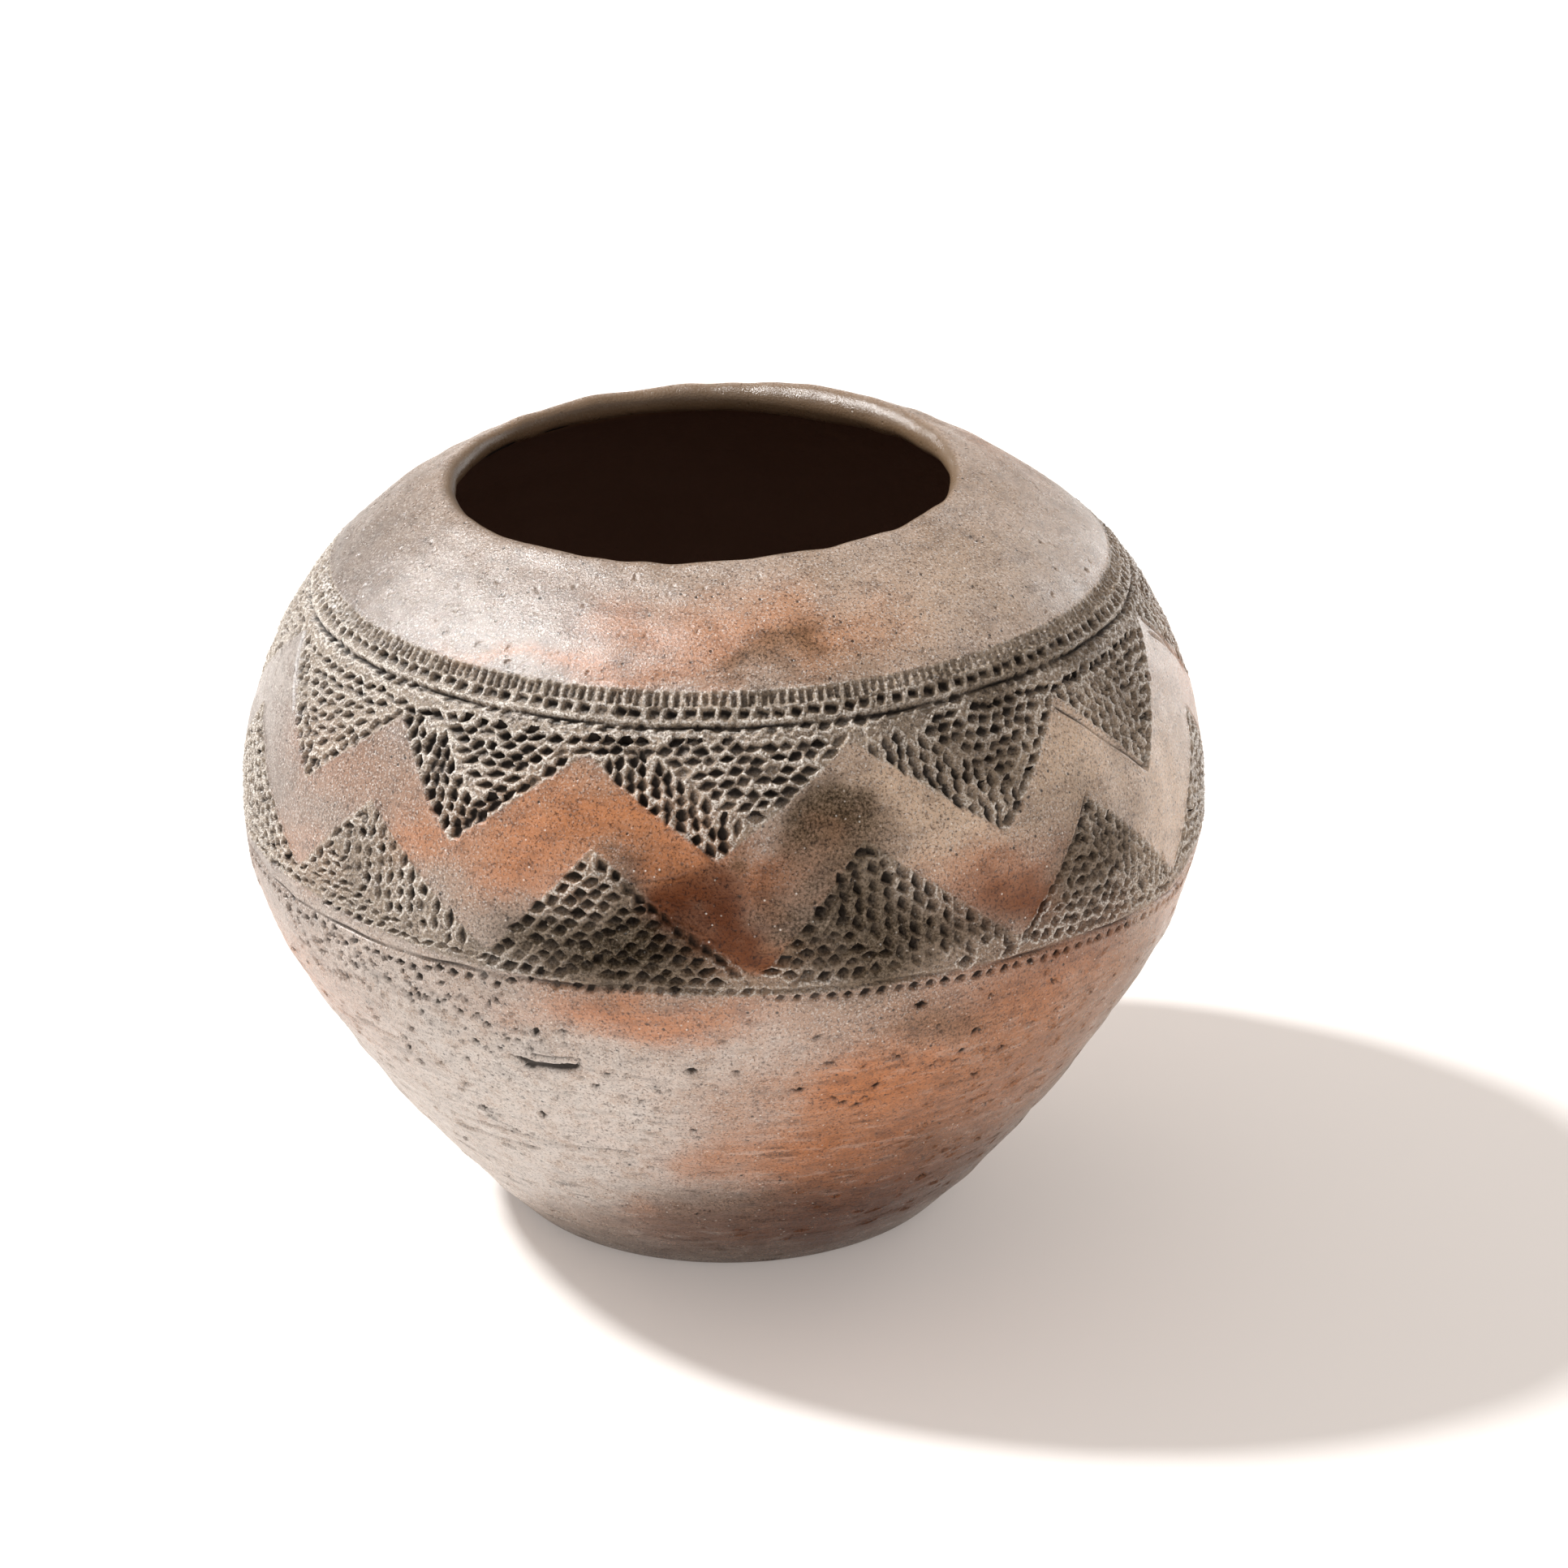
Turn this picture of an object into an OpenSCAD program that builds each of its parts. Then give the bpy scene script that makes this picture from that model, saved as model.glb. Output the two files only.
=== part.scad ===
// Coiled clay beer pot: a flat base and a stack of luted coils, with incised lines and rows of stamps.
// Millimetres, +Z up, origin at the middle of the flat underside.

/* [Outline] */
// Greatest diameter, at the belly
belly_d = 300; // [280:2:330]
// Height of the greatest diameter above the ground
belly_z = 133.5; // [124:0.5:142]
// Height of the lip above the ground
pot_h = 237; // [225:1:255]
// Clear diameter of the mouth
mouth_d = 152; // [120:2:164]
// Diameter of the foot, where the wall would meet the ground
foot_d = 141; // [126:1:156]
// Radius of the turn just below the belly
turn_r = 80; // [70:1:92]
// Radius of the long lower wall
lower_wall_r = 400; // [340:10:560]
// Rounding of the foot's lower edge
foot_edge_r = 6; // [3:0.5:9]

/* [Clay] */
// Thickness of the wall
wall_t = 7; // [5:0.5:8]
// Thickness of the base
base_t = 10; // [7:0.5:14]
// Diameter of the clay pancake under the base
pancake_d = 116; // [100:2:120]
// Thickness of the rounded lip
lip_t = 8; // [7:0.5:12]
// Rounding inside, between the base and the wall
inside_edge_r = 14; // [8:1:20]
// How far a coil joint slopes down the wall from the outside to the inside
lap = 8; // [3:0.5:11]

/* [Ornament] */
// Wall length from the foot to the lower border line
border_s = 153.5; // [149:0.5:158]
// Wall length from the foot to the line above the hanging triangles
line_s = 231.2; // [230.6:0.1:232]
// Wall length from the foot to the row of square stamps
square_s = 235; // [234:0.5:236]
// Wall length from the foot to the row of ticks
tick_s = 239.8; // [239:0.1:246]
// Width of an incised line
line_w = 1.8; // [1:0.1:2.4]
// Depth of an incised line
line_deep = 0.6; // [0.3:0.1:0.8]
// Triangles in each of the two rows round the pot
triangles = 12; // [8:1:16]
// Wall length from the foot to the tips of the hanging triangles
hanging_tip_s = 191.5; // [180:0.5:200]
// Wall length from the foot to the tips of the standing triangles
standing_tip_s = 195.5; // [185:0.5:205]
// Plain clay between a triangle and its neighbour or its line
triangle_gap = 3; // [1:0.5:6]
// Rows of stamps on the height of one coil
stamp_rows = 5; // [3:1:5]
// Distance between the stamps of a row
stamp_pitch = 6; // [5:0.5:9]
// Width of a stamp
stamp_w = 4.2; // [3:0.1:4.6]
// Depth of a stamp
stamp_deep = 1.3; // [0.6:0.1:1.4]
// Square stamps round the pot
squares = 150; // [80:2:160]
// Ticks round the pot
ticks = 280; // [120:2:300]
// Length of a tick
tick_l = 4.2; // [3:0.1:4.6]
// Depth of a tick
tick_deep = 0.8; // [0.4:0.1:1]

/* [Hidden] */
$fn = 256;

lower_coils = 5;
belly_coils = 4;
shoulder_coils = 3;
// The foot coil stands below the numbered coils and the rim coil above them.
coils = 1 + lower_coils + belly_coils + shoulder_coils + 1;

clay_dark = [0.27, 0.19, 0.13];
clay_brown = [0.46, 0.32, 0.21];
clay_red = [0.55, 0.31, 0.17];
clay_tan = [0.58, 0.43, 0.29];

// Spare length by which cutting outlines run past the clay
past = 4;
// Share by which a stamp runs past the clay's surface
stamp_past = 1.08;
// Slope of a stamp's steep upper side, and of both sides of a tick
stamp_slope = 60;
tick_slope = 45;

// The outside in radius and height: a shoulder arc, a turn below the belly and a long lower wall
belly_r = belly_d / 2;
foot_r = foot_d / 2;
lip_r = lip_t / 2;
lip_c = [mouth_d / 2 + lip_r, pot_h - lip_r];
// The shoulder arc is upright at the belly and touches the lip's circle from outside.
lip_in = belly_r - lip_c[0];
lip_up = lip_c[1] - belly_z;
shoulder_r = (lip_in ^ 2 + lip_up ^ 2 - lip_r ^ 2) / (2 * (lip_in - lip_r));
shoulder_c = [belly_r - shoulder_r, belly_z];
turn_c = [belly_r - turn_r, belly_z];
// The lower wall touches the turn from outside and runs through the foot's edge.
to_foot = [foot_r, 0] - turn_c;
foot_far = norm(to_foot);
wall_gap = lower_wall_r - turn_r;
along = (wall_gap ^ 2 - lower_wall_r ^ 2 + foot_far ^ 2) / (2 * foot_far);
aside = sqrt(wall_gap ^ 2 - along ^ 2);
lower_c = turn_c + (along * to_foot + aside * [to_foot[1], -to_foot[0]]) / foot_far;

function direction(from, to) = atan2(to[1] - from[1], to[0] - from[0]);
function at(centre, radius, angle) = centre + radius * [cos(angle), sin(angle)];
function arc_length(radius, angle) = radius * angle * PI / 180;
function arc_angle(radius, length) = length / radius * 180 / PI;

foot_angle = direction(lower_c, [foot_r, 0]);
turn_angle = direction(lower_c, turn_c);
lip_angle = direction(shoulder_c, lip_c);
lower_s = arc_length(lower_wall_r, turn_angle - foot_angle);
belly_s = lower_s + arc_length(turn_r, -turn_angle);
total_s = belly_s + arc_length(shoulder_r, lip_angle);

// Slope of the wall's outward direction at a length from the foot along the outside
function wall_slope(s) =
    s < lower_s ? foot_angle + arc_angle(lower_wall_r, s)
    : s < belly_s ? turn_angle + arc_angle(turn_r, s - lower_s)
    : arc_angle(shoulder_r, s - belly_s);

// Point of the wall at that length, sunk by a depth into the clay
function wall_point(s, deep) =
    s < lower_s ? at(lower_c, lower_wall_r - deep, wall_slope(s))
    : s < belly_s ? at(turn_c, turn_r - deep, wall_slope(s))
    : at(shoulder_c, shoulder_r - deep, wall_slope(s));

// Coil joints at even steps of the wall's length: each slopes from the outside down to the inside
coil_s = total_s / coils;
function joint_out(j) = j == 0 ? [pancake_d / 2, 0] : wall_point(j * coil_s, 0);
function joint_in(j) = j == 0 ? [pancake_d / 2 - lap, base_t] : wall_point(j * coil_s - lap, wall_t);
function joint_run(j) = (joint_out(j) - joint_in(j)) / norm(joint_out(j) - joint_in(j));
function past_out(j) = joint_out(j) + past * joint_run(j);
function past_in(j) = joint_in(j) - past * joint_run(j);

// The triangles' level edges lie beside the incised lines.
hanging_edge_s = line_s - triangle_gap;
standing_edge_s = border_s + triangle_gap;

// Half of the pot's section as a band between two heights, bounded by one arc
module arc_band(centre, radius, low, high) {
    intersection() {
        translate(centre)
            circle(radius);
        translate([0, low])
            square([belly_r + past, high - low]);
    }
}

// Everything within the outside surface, sunk by a depth, from a floor height up
module filled_section(deep, floor_z) {
    turn_z = wall_point(lower_s, deep)[1];
    arc_band(lower_c, lower_wall_r - deep, floor_z, turn_z);
    arc_band(turn_c, turn_r - deep, turn_z, belly_z);
    arc_band(shoulder_c, shoulder_r - deep, belly_z, pot_h);
    // The turn's circle doesn't reach the axis, so a square fills its band.
    translate([0, turn_z])
        square([turn_c[0], belly_z - turn_z]);
}

// Corner between a floor and the lower wall that a rounding takes away
module corner_sliver(deep, floor_z, round_r) {
    wall_r = lower_wall_r - deep;
    up = floor_z + round_r - lower_c[1];
    centre = lower_c + [sqrt((wall_r - round_r) ^ 2 - up ^ 2), up];
    touch = at(centre, round_r + past, direction(lower_c, centre));
    difference() {
        polygon([centre, [centre[0], floor_z - past], [touch[0], floor_z - past], touch]);
        translate(centre)
            circle(round_r);
    }
}

// Groove of a line scratched round the pot at a wall length
module incised_line(s) {
    groove_r = (line_w ^ 2 / 4 + line_deep ^ 2) / (2 * line_deep);
    translate(wall_point(s, line_deep - groove_r))
        circle(groove_r, $fn = 64);
}

// Hollow of the pot, with the mouth open and the lip's clay left standing
module hollow_section() {
    difference() {
        filled_section(wall_t, base_t);
        corner_sliver(wall_t, base_t, inside_edge_r);
    }
    polygon([
        [0, belly_z],
        at(lip_c, -lip_r - past, lip_angle),
        at(lip_c, lip_r + past, lip_angle),
        [0, pot_h + past]
    ]);
}

// Section of the whole pot's clay
module clay_section() {
    difference() {
        filled_section(0, 0);
        corner_sliver(0, 0, foot_edge_r);
        hollow_section();
        for (s = [border_s, line_s])
            incised_line(s);
    }
    translate(lip_c)
        circle(lip_r, $fn = 96);
}

// The part of the clay's section inside an outline, turned round the pot's axis
module turned(outline) {
    rotate_extrude()
        intersection() {
            clay_section();
            polygon(outline);
        }
}

// Sets a tool, whose point is at its origin and which opens along Z, on the wall with its point sunk by a depth
module on_wall(angle, s, deep) {
    point = wall_point(s, deep);
    rotate(angle)
        translate([0, -point[0], point[1]])
            rotate([90 - wall_slope(s), 0, 0])
                children();
}

// How far a stamp's steep upper side and its shallow lower side reach from its deepest edge
reach_up = stamp_deep / tan(stamp_slope);
reach_down = stamp_deep * tan(stamp_slope);

// The end of a square stick pressed in aslant, centred on a wall length
module stamp(angle, s) {
    side = stamp_past * stamp_deep / cos(stamp_slope);
    on_wall(angle, s + (reach_down - reach_up) / 2, stamp_deep)
        rotate([stamp_slope, 0, 0])
            translate([-stamp_w / 2, 0, 0])
                cube([stamp_w, side, side]);
}

// A tick pressed in with the edge of a blade
module tick(angle) {
    side = stamp_past * tick_deep / sin(tick_slope);
    on_wall(angle, tick_s, tick_deep)
        rotate([0, -tick_slope, 0])
            translate([0, -tick_l / 2, 0])
                cube([side, tick_l, side]);
}

// Stamps of one row of a triangle, as many as its width there takes, round the middle of the triangle
module stamped_row(s, edge_s, tip_s, middle) {
    edge_half = 180 / triangles - arc_angle(wall_point(edge_s, 0)[0], triangle_gap / 2);
    half = edge_half * (s - tip_s) / (edge_s - tip_s);
    step = arc_angle(wall_point(s, 0)[0], stamp_pitch);
    count = floor(2 * half / step);
    for (i = [0:1:count - 1])
        stamp(middle + (i - (count - 1) / 2) * step, s);
}

// Whether a coil's outside comes within a distance of a wall length
function coil_reaches(j, s, far) = j * coil_s < s + far && s - far < (j + 1) * coil_s;

// All the stamps that are pressed into one coil
module coil_stamps(j) {
    row_s = coil_s / stamp_rows;
    for (row = [0:stamp_rows - 1]) {
        s = j * coil_s + (row + 0.5) * row_s;
        for (i = [0:triangles - 1]) {
            middle = i * 360 / triangles;
            if (s > hanging_tip_s && s < hanging_edge_s)
                stamped_row(s, hanging_edge_s, hanging_tip_s, middle);
            if (s > standing_edge_s && s < standing_tip_s)
                stamped_row(s, standing_edge_s, standing_tip_s, middle + 180 / triangles);
        }
    }
    if (coil_reaches(j, square_s, (reach_up + reach_down) / 2))
        for (i = [0:squares - 1])
            stamp(i * 360 / squares, square_s);
    if (coil_reaches(j, tick_s, tick_l / 2))
        for (i = [0:ticks - 1])
            tick(i * 360 / ticks);
}

// One coil between its lower and its upper joint
module coil(j) {
    difference() {
        turned([past_in(j), past_out(j), past_out(j + 1), past_in(j + 1)]);
        coil_stamps(j);
    }
}

module base_disc() {
    color(clay_dark)
        turned([[0, base_t + past], past_in(0), past_out(0), [0, -past]]);
}

module foot_coil() {
    color(clay_dark)
        turned([past_in(0), past_out(0), [foot_r + past, -past], past_out(1), past_in(1)]);
}

module lower_coil(i) {
    color(clay_brown)
        coil(i);
}

module belly_coil(i) {
    color(clay_red)
        coil(lower_coils + i);
}

module shoulder_coil(i) {
    color(clay_tan)
        coil(lower_coils + belly_coils + i);
}

module rim_coil() {
    color(clay_tan)
        turned([
            past_in(coils - 1),
            past_out(coils - 1),
            [belly_r, pot_h + past],
            [0, pot_h + past],
            [0, past_in(coils - 1)[1]]
        ]);
}

base_disc();
foot_coil();
for (i = [1:lower_coils])
    lower_coil(i);
for (i = [1:belly_coils])
    belly_coil(i);
for (i = [1:shoulder_coils])
    shoulder_coil(i);
rim_coil();
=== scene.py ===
import math

import bpy
import numpy as np
from mathutils import Matrix, Vector


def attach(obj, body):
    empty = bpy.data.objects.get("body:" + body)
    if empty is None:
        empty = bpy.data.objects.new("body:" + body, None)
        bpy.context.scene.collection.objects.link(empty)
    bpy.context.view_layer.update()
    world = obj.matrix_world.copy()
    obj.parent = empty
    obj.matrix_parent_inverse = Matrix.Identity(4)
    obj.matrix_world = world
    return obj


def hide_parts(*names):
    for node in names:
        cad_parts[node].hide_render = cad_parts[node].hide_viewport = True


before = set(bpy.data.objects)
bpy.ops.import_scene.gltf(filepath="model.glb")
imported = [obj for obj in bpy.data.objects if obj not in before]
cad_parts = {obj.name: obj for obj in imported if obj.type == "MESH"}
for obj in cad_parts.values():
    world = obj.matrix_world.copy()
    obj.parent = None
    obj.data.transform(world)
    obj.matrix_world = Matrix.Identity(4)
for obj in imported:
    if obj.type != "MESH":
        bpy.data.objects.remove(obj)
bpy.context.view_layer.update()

mm = 0.001
fullTurn = 2 * math.pi
print("frame loaded:", len(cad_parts), "solids")


# Outline of the pot in millimetres, as the solids have it
potShape = {
    "bellyD": 300, "bellyZ": 133.5, "potH": 237, "mouthD": 152, "footD": 141,
    "turnR": 80, "lowerWallR": 400, "footEdgeR": 6, "insideEdgeR": 14,
    "wallT": 7, "baseT": 10, "pancakeD": 116, "lipT": 8, "lap": 8,
}
coilNames = ["foot_coil"]
for part, coils in (("lower", 5), ("belly", 4), ("shoulder", 3)):
    coilNames += ["%s_coil_%d" % (part, i + 1) for i in range(coils)]
coilNames += ["rim_coil"]

bellyR = potShape["bellyD"] / 2
bellyZ = potShape["bellyZ"]
footR = potShape["footD"] / 2
turnR = potShape["turnR"]
lowerR = potShape["lowerWallR"]
wallT, baseT, lap = [potShape[name] for name in ("wallT", "baseT", "lap")]
pancakeR = potShape["pancakeD"] / 2
lipR = potShape["lipT"] / 2
lipC = np.array([potShape["mouthD"] / 2 + lipR, potShape["potH"] - lipR])
# the shoulder arc stands upright at the belly and touches the lip's circle
lipIn = bellyR - lipC[0]
lipUp = lipC[1] - bellyZ
shoulderR = (lipIn ** 2 + lipUp ** 2 - lipR ** 2) / (2 * (lipIn - lipR))
shoulderC = np.array([bellyR - shoulderR, bellyZ])
turnC = np.array([bellyR - turnR, bellyZ])
# the lower wall touches the turn and runs through the foot's edge
toFoot = np.array([footR, 0]) - turnC
footFar = np.linalg.norm(toFoot)
along = ((lowerR - turnR) ** 2 - lowerR ** 2 + footFar ** 2) / (2 * footFar)
aside = math.sqrt((lowerR - turnR) ** 2 - along ** 2)
lowerC = turnC + (along * toFoot + aside * np.array([toFoot[1], -toFoot[0]])) / footFar
footAngle = math.atan2(-lowerC[1], footR - lowerC[0])
turnAngle = math.atan2(turnC[1] - lowerC[1], turnC[0] - lowerC[0])
lipAngle = math.atan2(lipC[1] - shoulderC[1], lipC[0] - shoulderC[0])
lowerS = lowerR * (turnAngle - footAngle)
bellyS = lowerS - turnR * turnAngle
totalS = bellyS + shoulderR * lipAngle
coilS = totalS / len(coilNames)
print("wall length %.1f mm, coil height %.1f mm" % (totalS, coilS))


def smooth(x, low, high):
    t = np.clip((x - low) / (high - low), 0, 1)
    return t * t * (3 - 2 * t)


# Point and outward direction of the wall at a length from the foot, sunk by a depth
def wallLine(s, deep=0):
    s = np.asarray(s, float)
    isLow = s < lowerS
    isTurn = ~isLow & (s < bellyS)
    angle = np.where(
        isLow, footAngle + s / lowerR,
        np.where(isTurn, turnAngle + (s - lowerS) / turnR, (s - bellyS) / shoulderR))
    radius = np.where(isLow, lowerR, np.where(isTurn, turnR, shoulderR)) - deep
    centreR = np.where(isLow, lowerC[0], np.where(isTurn, turnC[0], shoulderC[0]))
    centreZ = np.where(isLow, lowerC[1], bellyZ)
    nr, nz = np.cos(angle), np.sin(angle)
    return centreR + radius * nr, centreZ + radius * nz, nr, nz, s


# Smooth unevenness in space: a sum of sines with fixed seeds
def waves(points, length, seed, stretch=(1, 1, 1)):
    count = 18
    rng = np.random.RandomState(seed)
    total = np.zeros(points.shape[:-1])
    for _ in range(count):
        way = rng.normal(size=3)
        way = way / np.linalg.norm(way) / np.array(stretch)
        way = way * fullTurn / length * rng.uniform(0.6, 1.5)
        total += np.sin(points @ way + rng.uniform(0, fullTurn))
    return total * math.sqrt(2 / count)


# What the hands left in the form, in millimetres and degrees; pairs are wall lengths where a change runs
handForm = {
    "oval": 0.8, "threeSided": 0.45, "coilRidge": 0.16, "ridgeSway": 2,
    "lump": 0.2, "lumpMm": 48, "facet": 0.1, "facetMm": 15, "drag": 0.07, "dragMm": 5, "dragLong": 9,
    "lipWave": 0.22, "lipMm": 26, "lipFrom": 8,
    "rise": (2, 30), "ovalRise": (20, 140), "lowEnds": (120, 165), "leanFrom": 236,
    "mouthShift": -6.3, "mouthDip": 2.1, "mouthRoll": 1.2, "mouthDrop": 1.6, "mouthDraw": 1.3,
}


def handPush(points, lon, s):
    low = 1 - smooth(s, *handForm["lowEnds"])
    push = handForm["oval"] * np.cos(2 * lon + 0.7) + handForm["threeSided"] * np.cos(3 * lon - 1.2)
    push = push * smooth(s, *handForm["ovalRise"])
    ridge = np.cos(fullTurn * (s + handForm["ridgeSway"] * np.sin(3 * lon + 0.4)) / coilS)
    push += handForm["coilRidge"] * ridge * (0.25 + 0.75 * low)
    push += handForm["lump"] * waves(points, handForm["lumpMm"], 11)
    push += handForm["facet"] * waves(points, handForm["facetMm"], 12)
    level = (handForm["dragLong"], handForm["dragLong"], 1)
    push += handForm["drag"] * waves(points, handForm["dragMm"], 13, level) * (0.15 + 0.85 * low)
    lip = smooth(s, totalS - handForm["lipFrom"], totalS)
    push += handForm["lipWave"] * lip * waves(points, handForm["lipMm"], 14)
    return push * smooth(s, *handForm["rise"])


# Places wall points round the pot, with the hand-made form and the leaning mouth, in millimetres
def placed(r, z, nr, nz, s, lon):
    plain = np.stack(np.broadcast_arrays(r * np.sin(lon), -r * np.cos(lon), z), -1)
    push = handPush(plain, lon, s)
    lean = smooth(s, handForm["leanFrom"], totalS)
    out = r + nr * push - handForm["mouthDraw"] * lean
    x, y = out * np.sin(lon) + handForm["mouthShift"] * lean, -out * np.cos(lon)
    dip, roll = [math.tan(math.radians(handForm[name])) for name in ("mouthDip", "mouthRoll")]
    up = z + nz * push + lean * (y * dip + x * roll - handForm["mouthDrop"])
    return np.stack(np.broadcast_arrays(x, y, up), -1)


def surfacePoint(lonDeg, s):
    return placed(*wallLine(s), np.radians(lonDeg))


# Degrees between two places round the pot, from -180 to 180
def turnFrom(lonDeg, other):
    return (lonDeg - other + 180) % 360 - 180


# Ornament, in millimetres of wall length and degrees round the pot from the front towards the right
ornament = {
    "tickS": 238.7, "ticks": 284, "squareS": 234.2, "wedgeS": 229.7, "squares": 156, "notches": 192,
    "lineS": 230.6, "bandFrom": 226.4, "tickReach": 2.6, "borderS": 154.2, "seed": 7,
    # how far the rows above the triangles and the border below them wander
    "bandRise": [
        (-75, 1), (-45, 0.6), (-22, 0), (5, 0.1), (15, 0.5), (30, 1.5), (45, 2.6), (75, 2.4),
        (120, 1.5), (180, 0.6), (240, 0.8)],
    "borderRise": [
        (-60, -0.7), (-40, -0.8), (-25, 0), (-5, 1.2), (6, 0.4), (20, -0.3), (33, -1.5), (45, -3.2),
        (55, -5.2), (66, -8.7), (82, -6.5), (104, -1.5), (140, 0.2), (200, -0.7), (260, 0)],
    "hangingTips": [-1, 33.4, 59.5, 90, 121, 149, 181, 211, 240, 270, 301.6, 327.2],
    "hangingCorners": [-17.2, 15.4, 46.4, 75.5, 106, 135, 164, 196, 226, 255, 285, 315.8],
    "hangingCornerS": [221.8, 224.7, 224, 228.6, 226, 224, 225, 224, 226, 225, 227.6, 222],
    "hangingTipS": [193, 191, 190.5, 192, 190, 193, 191, 192, 190, 193, 192, 190.6],
    "standingTips": [-15.2, 15.6, 46.6, 78, 107, 136, 165, 195, 226, 254, 281.5, 314.6],
    "standingCorners": [3.2, 34.1, 64, 92, 121, 150, 180, 210, 240, 268, 302.4, 333],
    "standingCornerS": [158.5, 158.5, 153, 157, 160, 160, 160, 159.5, 159.5, 160, 165, 161],
    "standingTipS": [195.2, 196.6, 192.5, 194, 196, 195, 193, 196, 194, 195, 198.5, 195.5],
}
# Each triangle in its maker's hand: rows along the left and the right edge with their headings, half sizes,
# pitch and gap of those stamps, then half sizes, pitch, gap and tilt of the level rows, and the depth
hands = {
    "hanging": {
        0: (4, 98, 0, 0, 2.2, 1.35, 4.7, 3, 2.4, 1.3, 5.1, 3.1, 0, 1.3),
        1: (4, 95, 1, 30, 2.3, 1.2, 4.9, 3.2, 2.1, 1.45, 4.7, 3.7, 0, 1.2),
        2: (5, 97, 2, 15, 2.3, 1.2, 5, 3.6, 2.3, 1.35, 5, 3.6, -4, 1.1),
        10: (2, 80, 1, 40, 2.2, 1.4, 4.6, 3.3, 2.4, 1.05, 5.6, 3.4, 5, 0.95),
        11: (4, 98, 1, 38, 2.3, 1.4, 4.8, 3.1, 2.7, 1.2, 5.7, 2.9, 4, 1.35),
    },
    "standing": {
        0: (1, 20, 1, 130, 2.3, 1.45, 4.7, 3.2, 2.3, 1.25, 5.2, 3.2, -2, 1.2),
        1: (1, 15, 6, 105, 2.3, 1.35, 5.4, 3.7, 2.3, 1.4, 5, 3.7, 0, 1.05),
        2: (1, 35, 4, 100, 2.1, 1.25, 4.6, 3.1, 2, 1.4, 4.7, 3.6, -6, 1.1),
        3: (1, 40, 1, 125, 2.2, 1.4, 4.8, 3.4, 2.2, 1.25, 4.8, 3.8, -12, 1.1),
        10: (0, 0, 7, 110, 1.8, 1.5, 4.3, 3.7, 2, 1.2, 4.8, 3.4, 0, 1.1),
        11: (1, 40, 5, 92, 2.1, 1.1, 5.6, 3.9, 2.1, 0.8, 4.8, 3.2, 3, 1),
    },
}
# How a stamp strays, how its sizes grow on those of the hand, and the room it leaves to the lines
stampCut = {
    "stray": 0.42, "turn": 11, "size": 0.15, "depth": 0.16, "long": 1.26, "wide": 1.36, "deep": 1.25,
    "boxy": 0.12, "slant": 0.7, "roomUp": 3.3, "roomDown": 2.4,
}
stamps = []
grooves = []
triangleList = []
rng = np.random.RandomState(ornament["seed"])


def wander(name, lonDeg):
    xs, ys = zip(*ornament[name])
    return np.interp(lonDeg, xs, ys, period=360)


def pressStamp(lonDeg, s, heading, halfLong, halfWide, deep, boxy, slant=0, loose=1):
    stamps.append((
        lonDeg, s, heading + loose * rng.normal(0, stampCut["turn"]),
        halfLong * (1 + loose * rng.normal(0, stampCut["size"])),
        halfWide * (1 + loose * rng.normal(0, stampCut["size"])),
        deep * (1 + loose * rng.normal(0, stampCut["depth"])), boxy, slant))


# A line drawn by hand: it shakes, is gripped unevenly and runs out at its ends
def scratchLine(points, halfWide, deep, wobble=0.3):
    step, fade = 1.2, 3
    lons, lengths = [p[0] for p in points], [p[1] for p in points]
    radius = float(wallLine(np.mean(lengths))[0])
    run = np.cumsum([0] + [
        math.hypot(math.radians(b[0] - a[0]) * radius, b[1] - a[1]) for a, b in zip(points, points[1:])])
    t = np.linspace(0, run[-1], max(3, int(run[-1] / step)))
    phase = rng.uniform(0, fullTurn, 3)
    shake = wobble * (np.sin(t / 9 + phase[0]) + 0.6 * np.sin(t / 3.7 + phase[1]))
    ends = np.minimum(smooth(t, 0, fade), 1 - smooth(t, run[-1] - fade, run[-1]))
    grip = 0.85 + 0.25 * np.sin(t / 6 + phase[2])
    grooves.append((
        np.interp(t, run, lons), np.interp(t, run, lengths) + shake,
        halfWide * (0.6 + 0.4 * ends), deep * grip * (0.3 + 0.7 * ends)))


# Distance of a flat point from a line through two corners, positive on the side of a third
def edgeFar(x, y, p, q, side):
    ax, ay = q[0] - p[0], q[1] - p[1]
    size = math.hypot(ax, ay)
    sign = 1 if ax * (side[1] - p[1]) - ay * (side[0] - p[0]) > 0 else -1
    return sign * (ax * (y - p[1]) - ay * (x - p[0])) / size


# A triangle laid flat about its tip: corners in millimetres, and the radius that it is laid flat with
def flatTriangle(left, right, tip):
    radius = float(wallLine((left[1] + right[1] + 2 * tip[1]) / 4)[0])
    return [(math.radians(p[0] - tip[0]) * radius, p[1]) for p in (left, right, tip)] + [radius]


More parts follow.
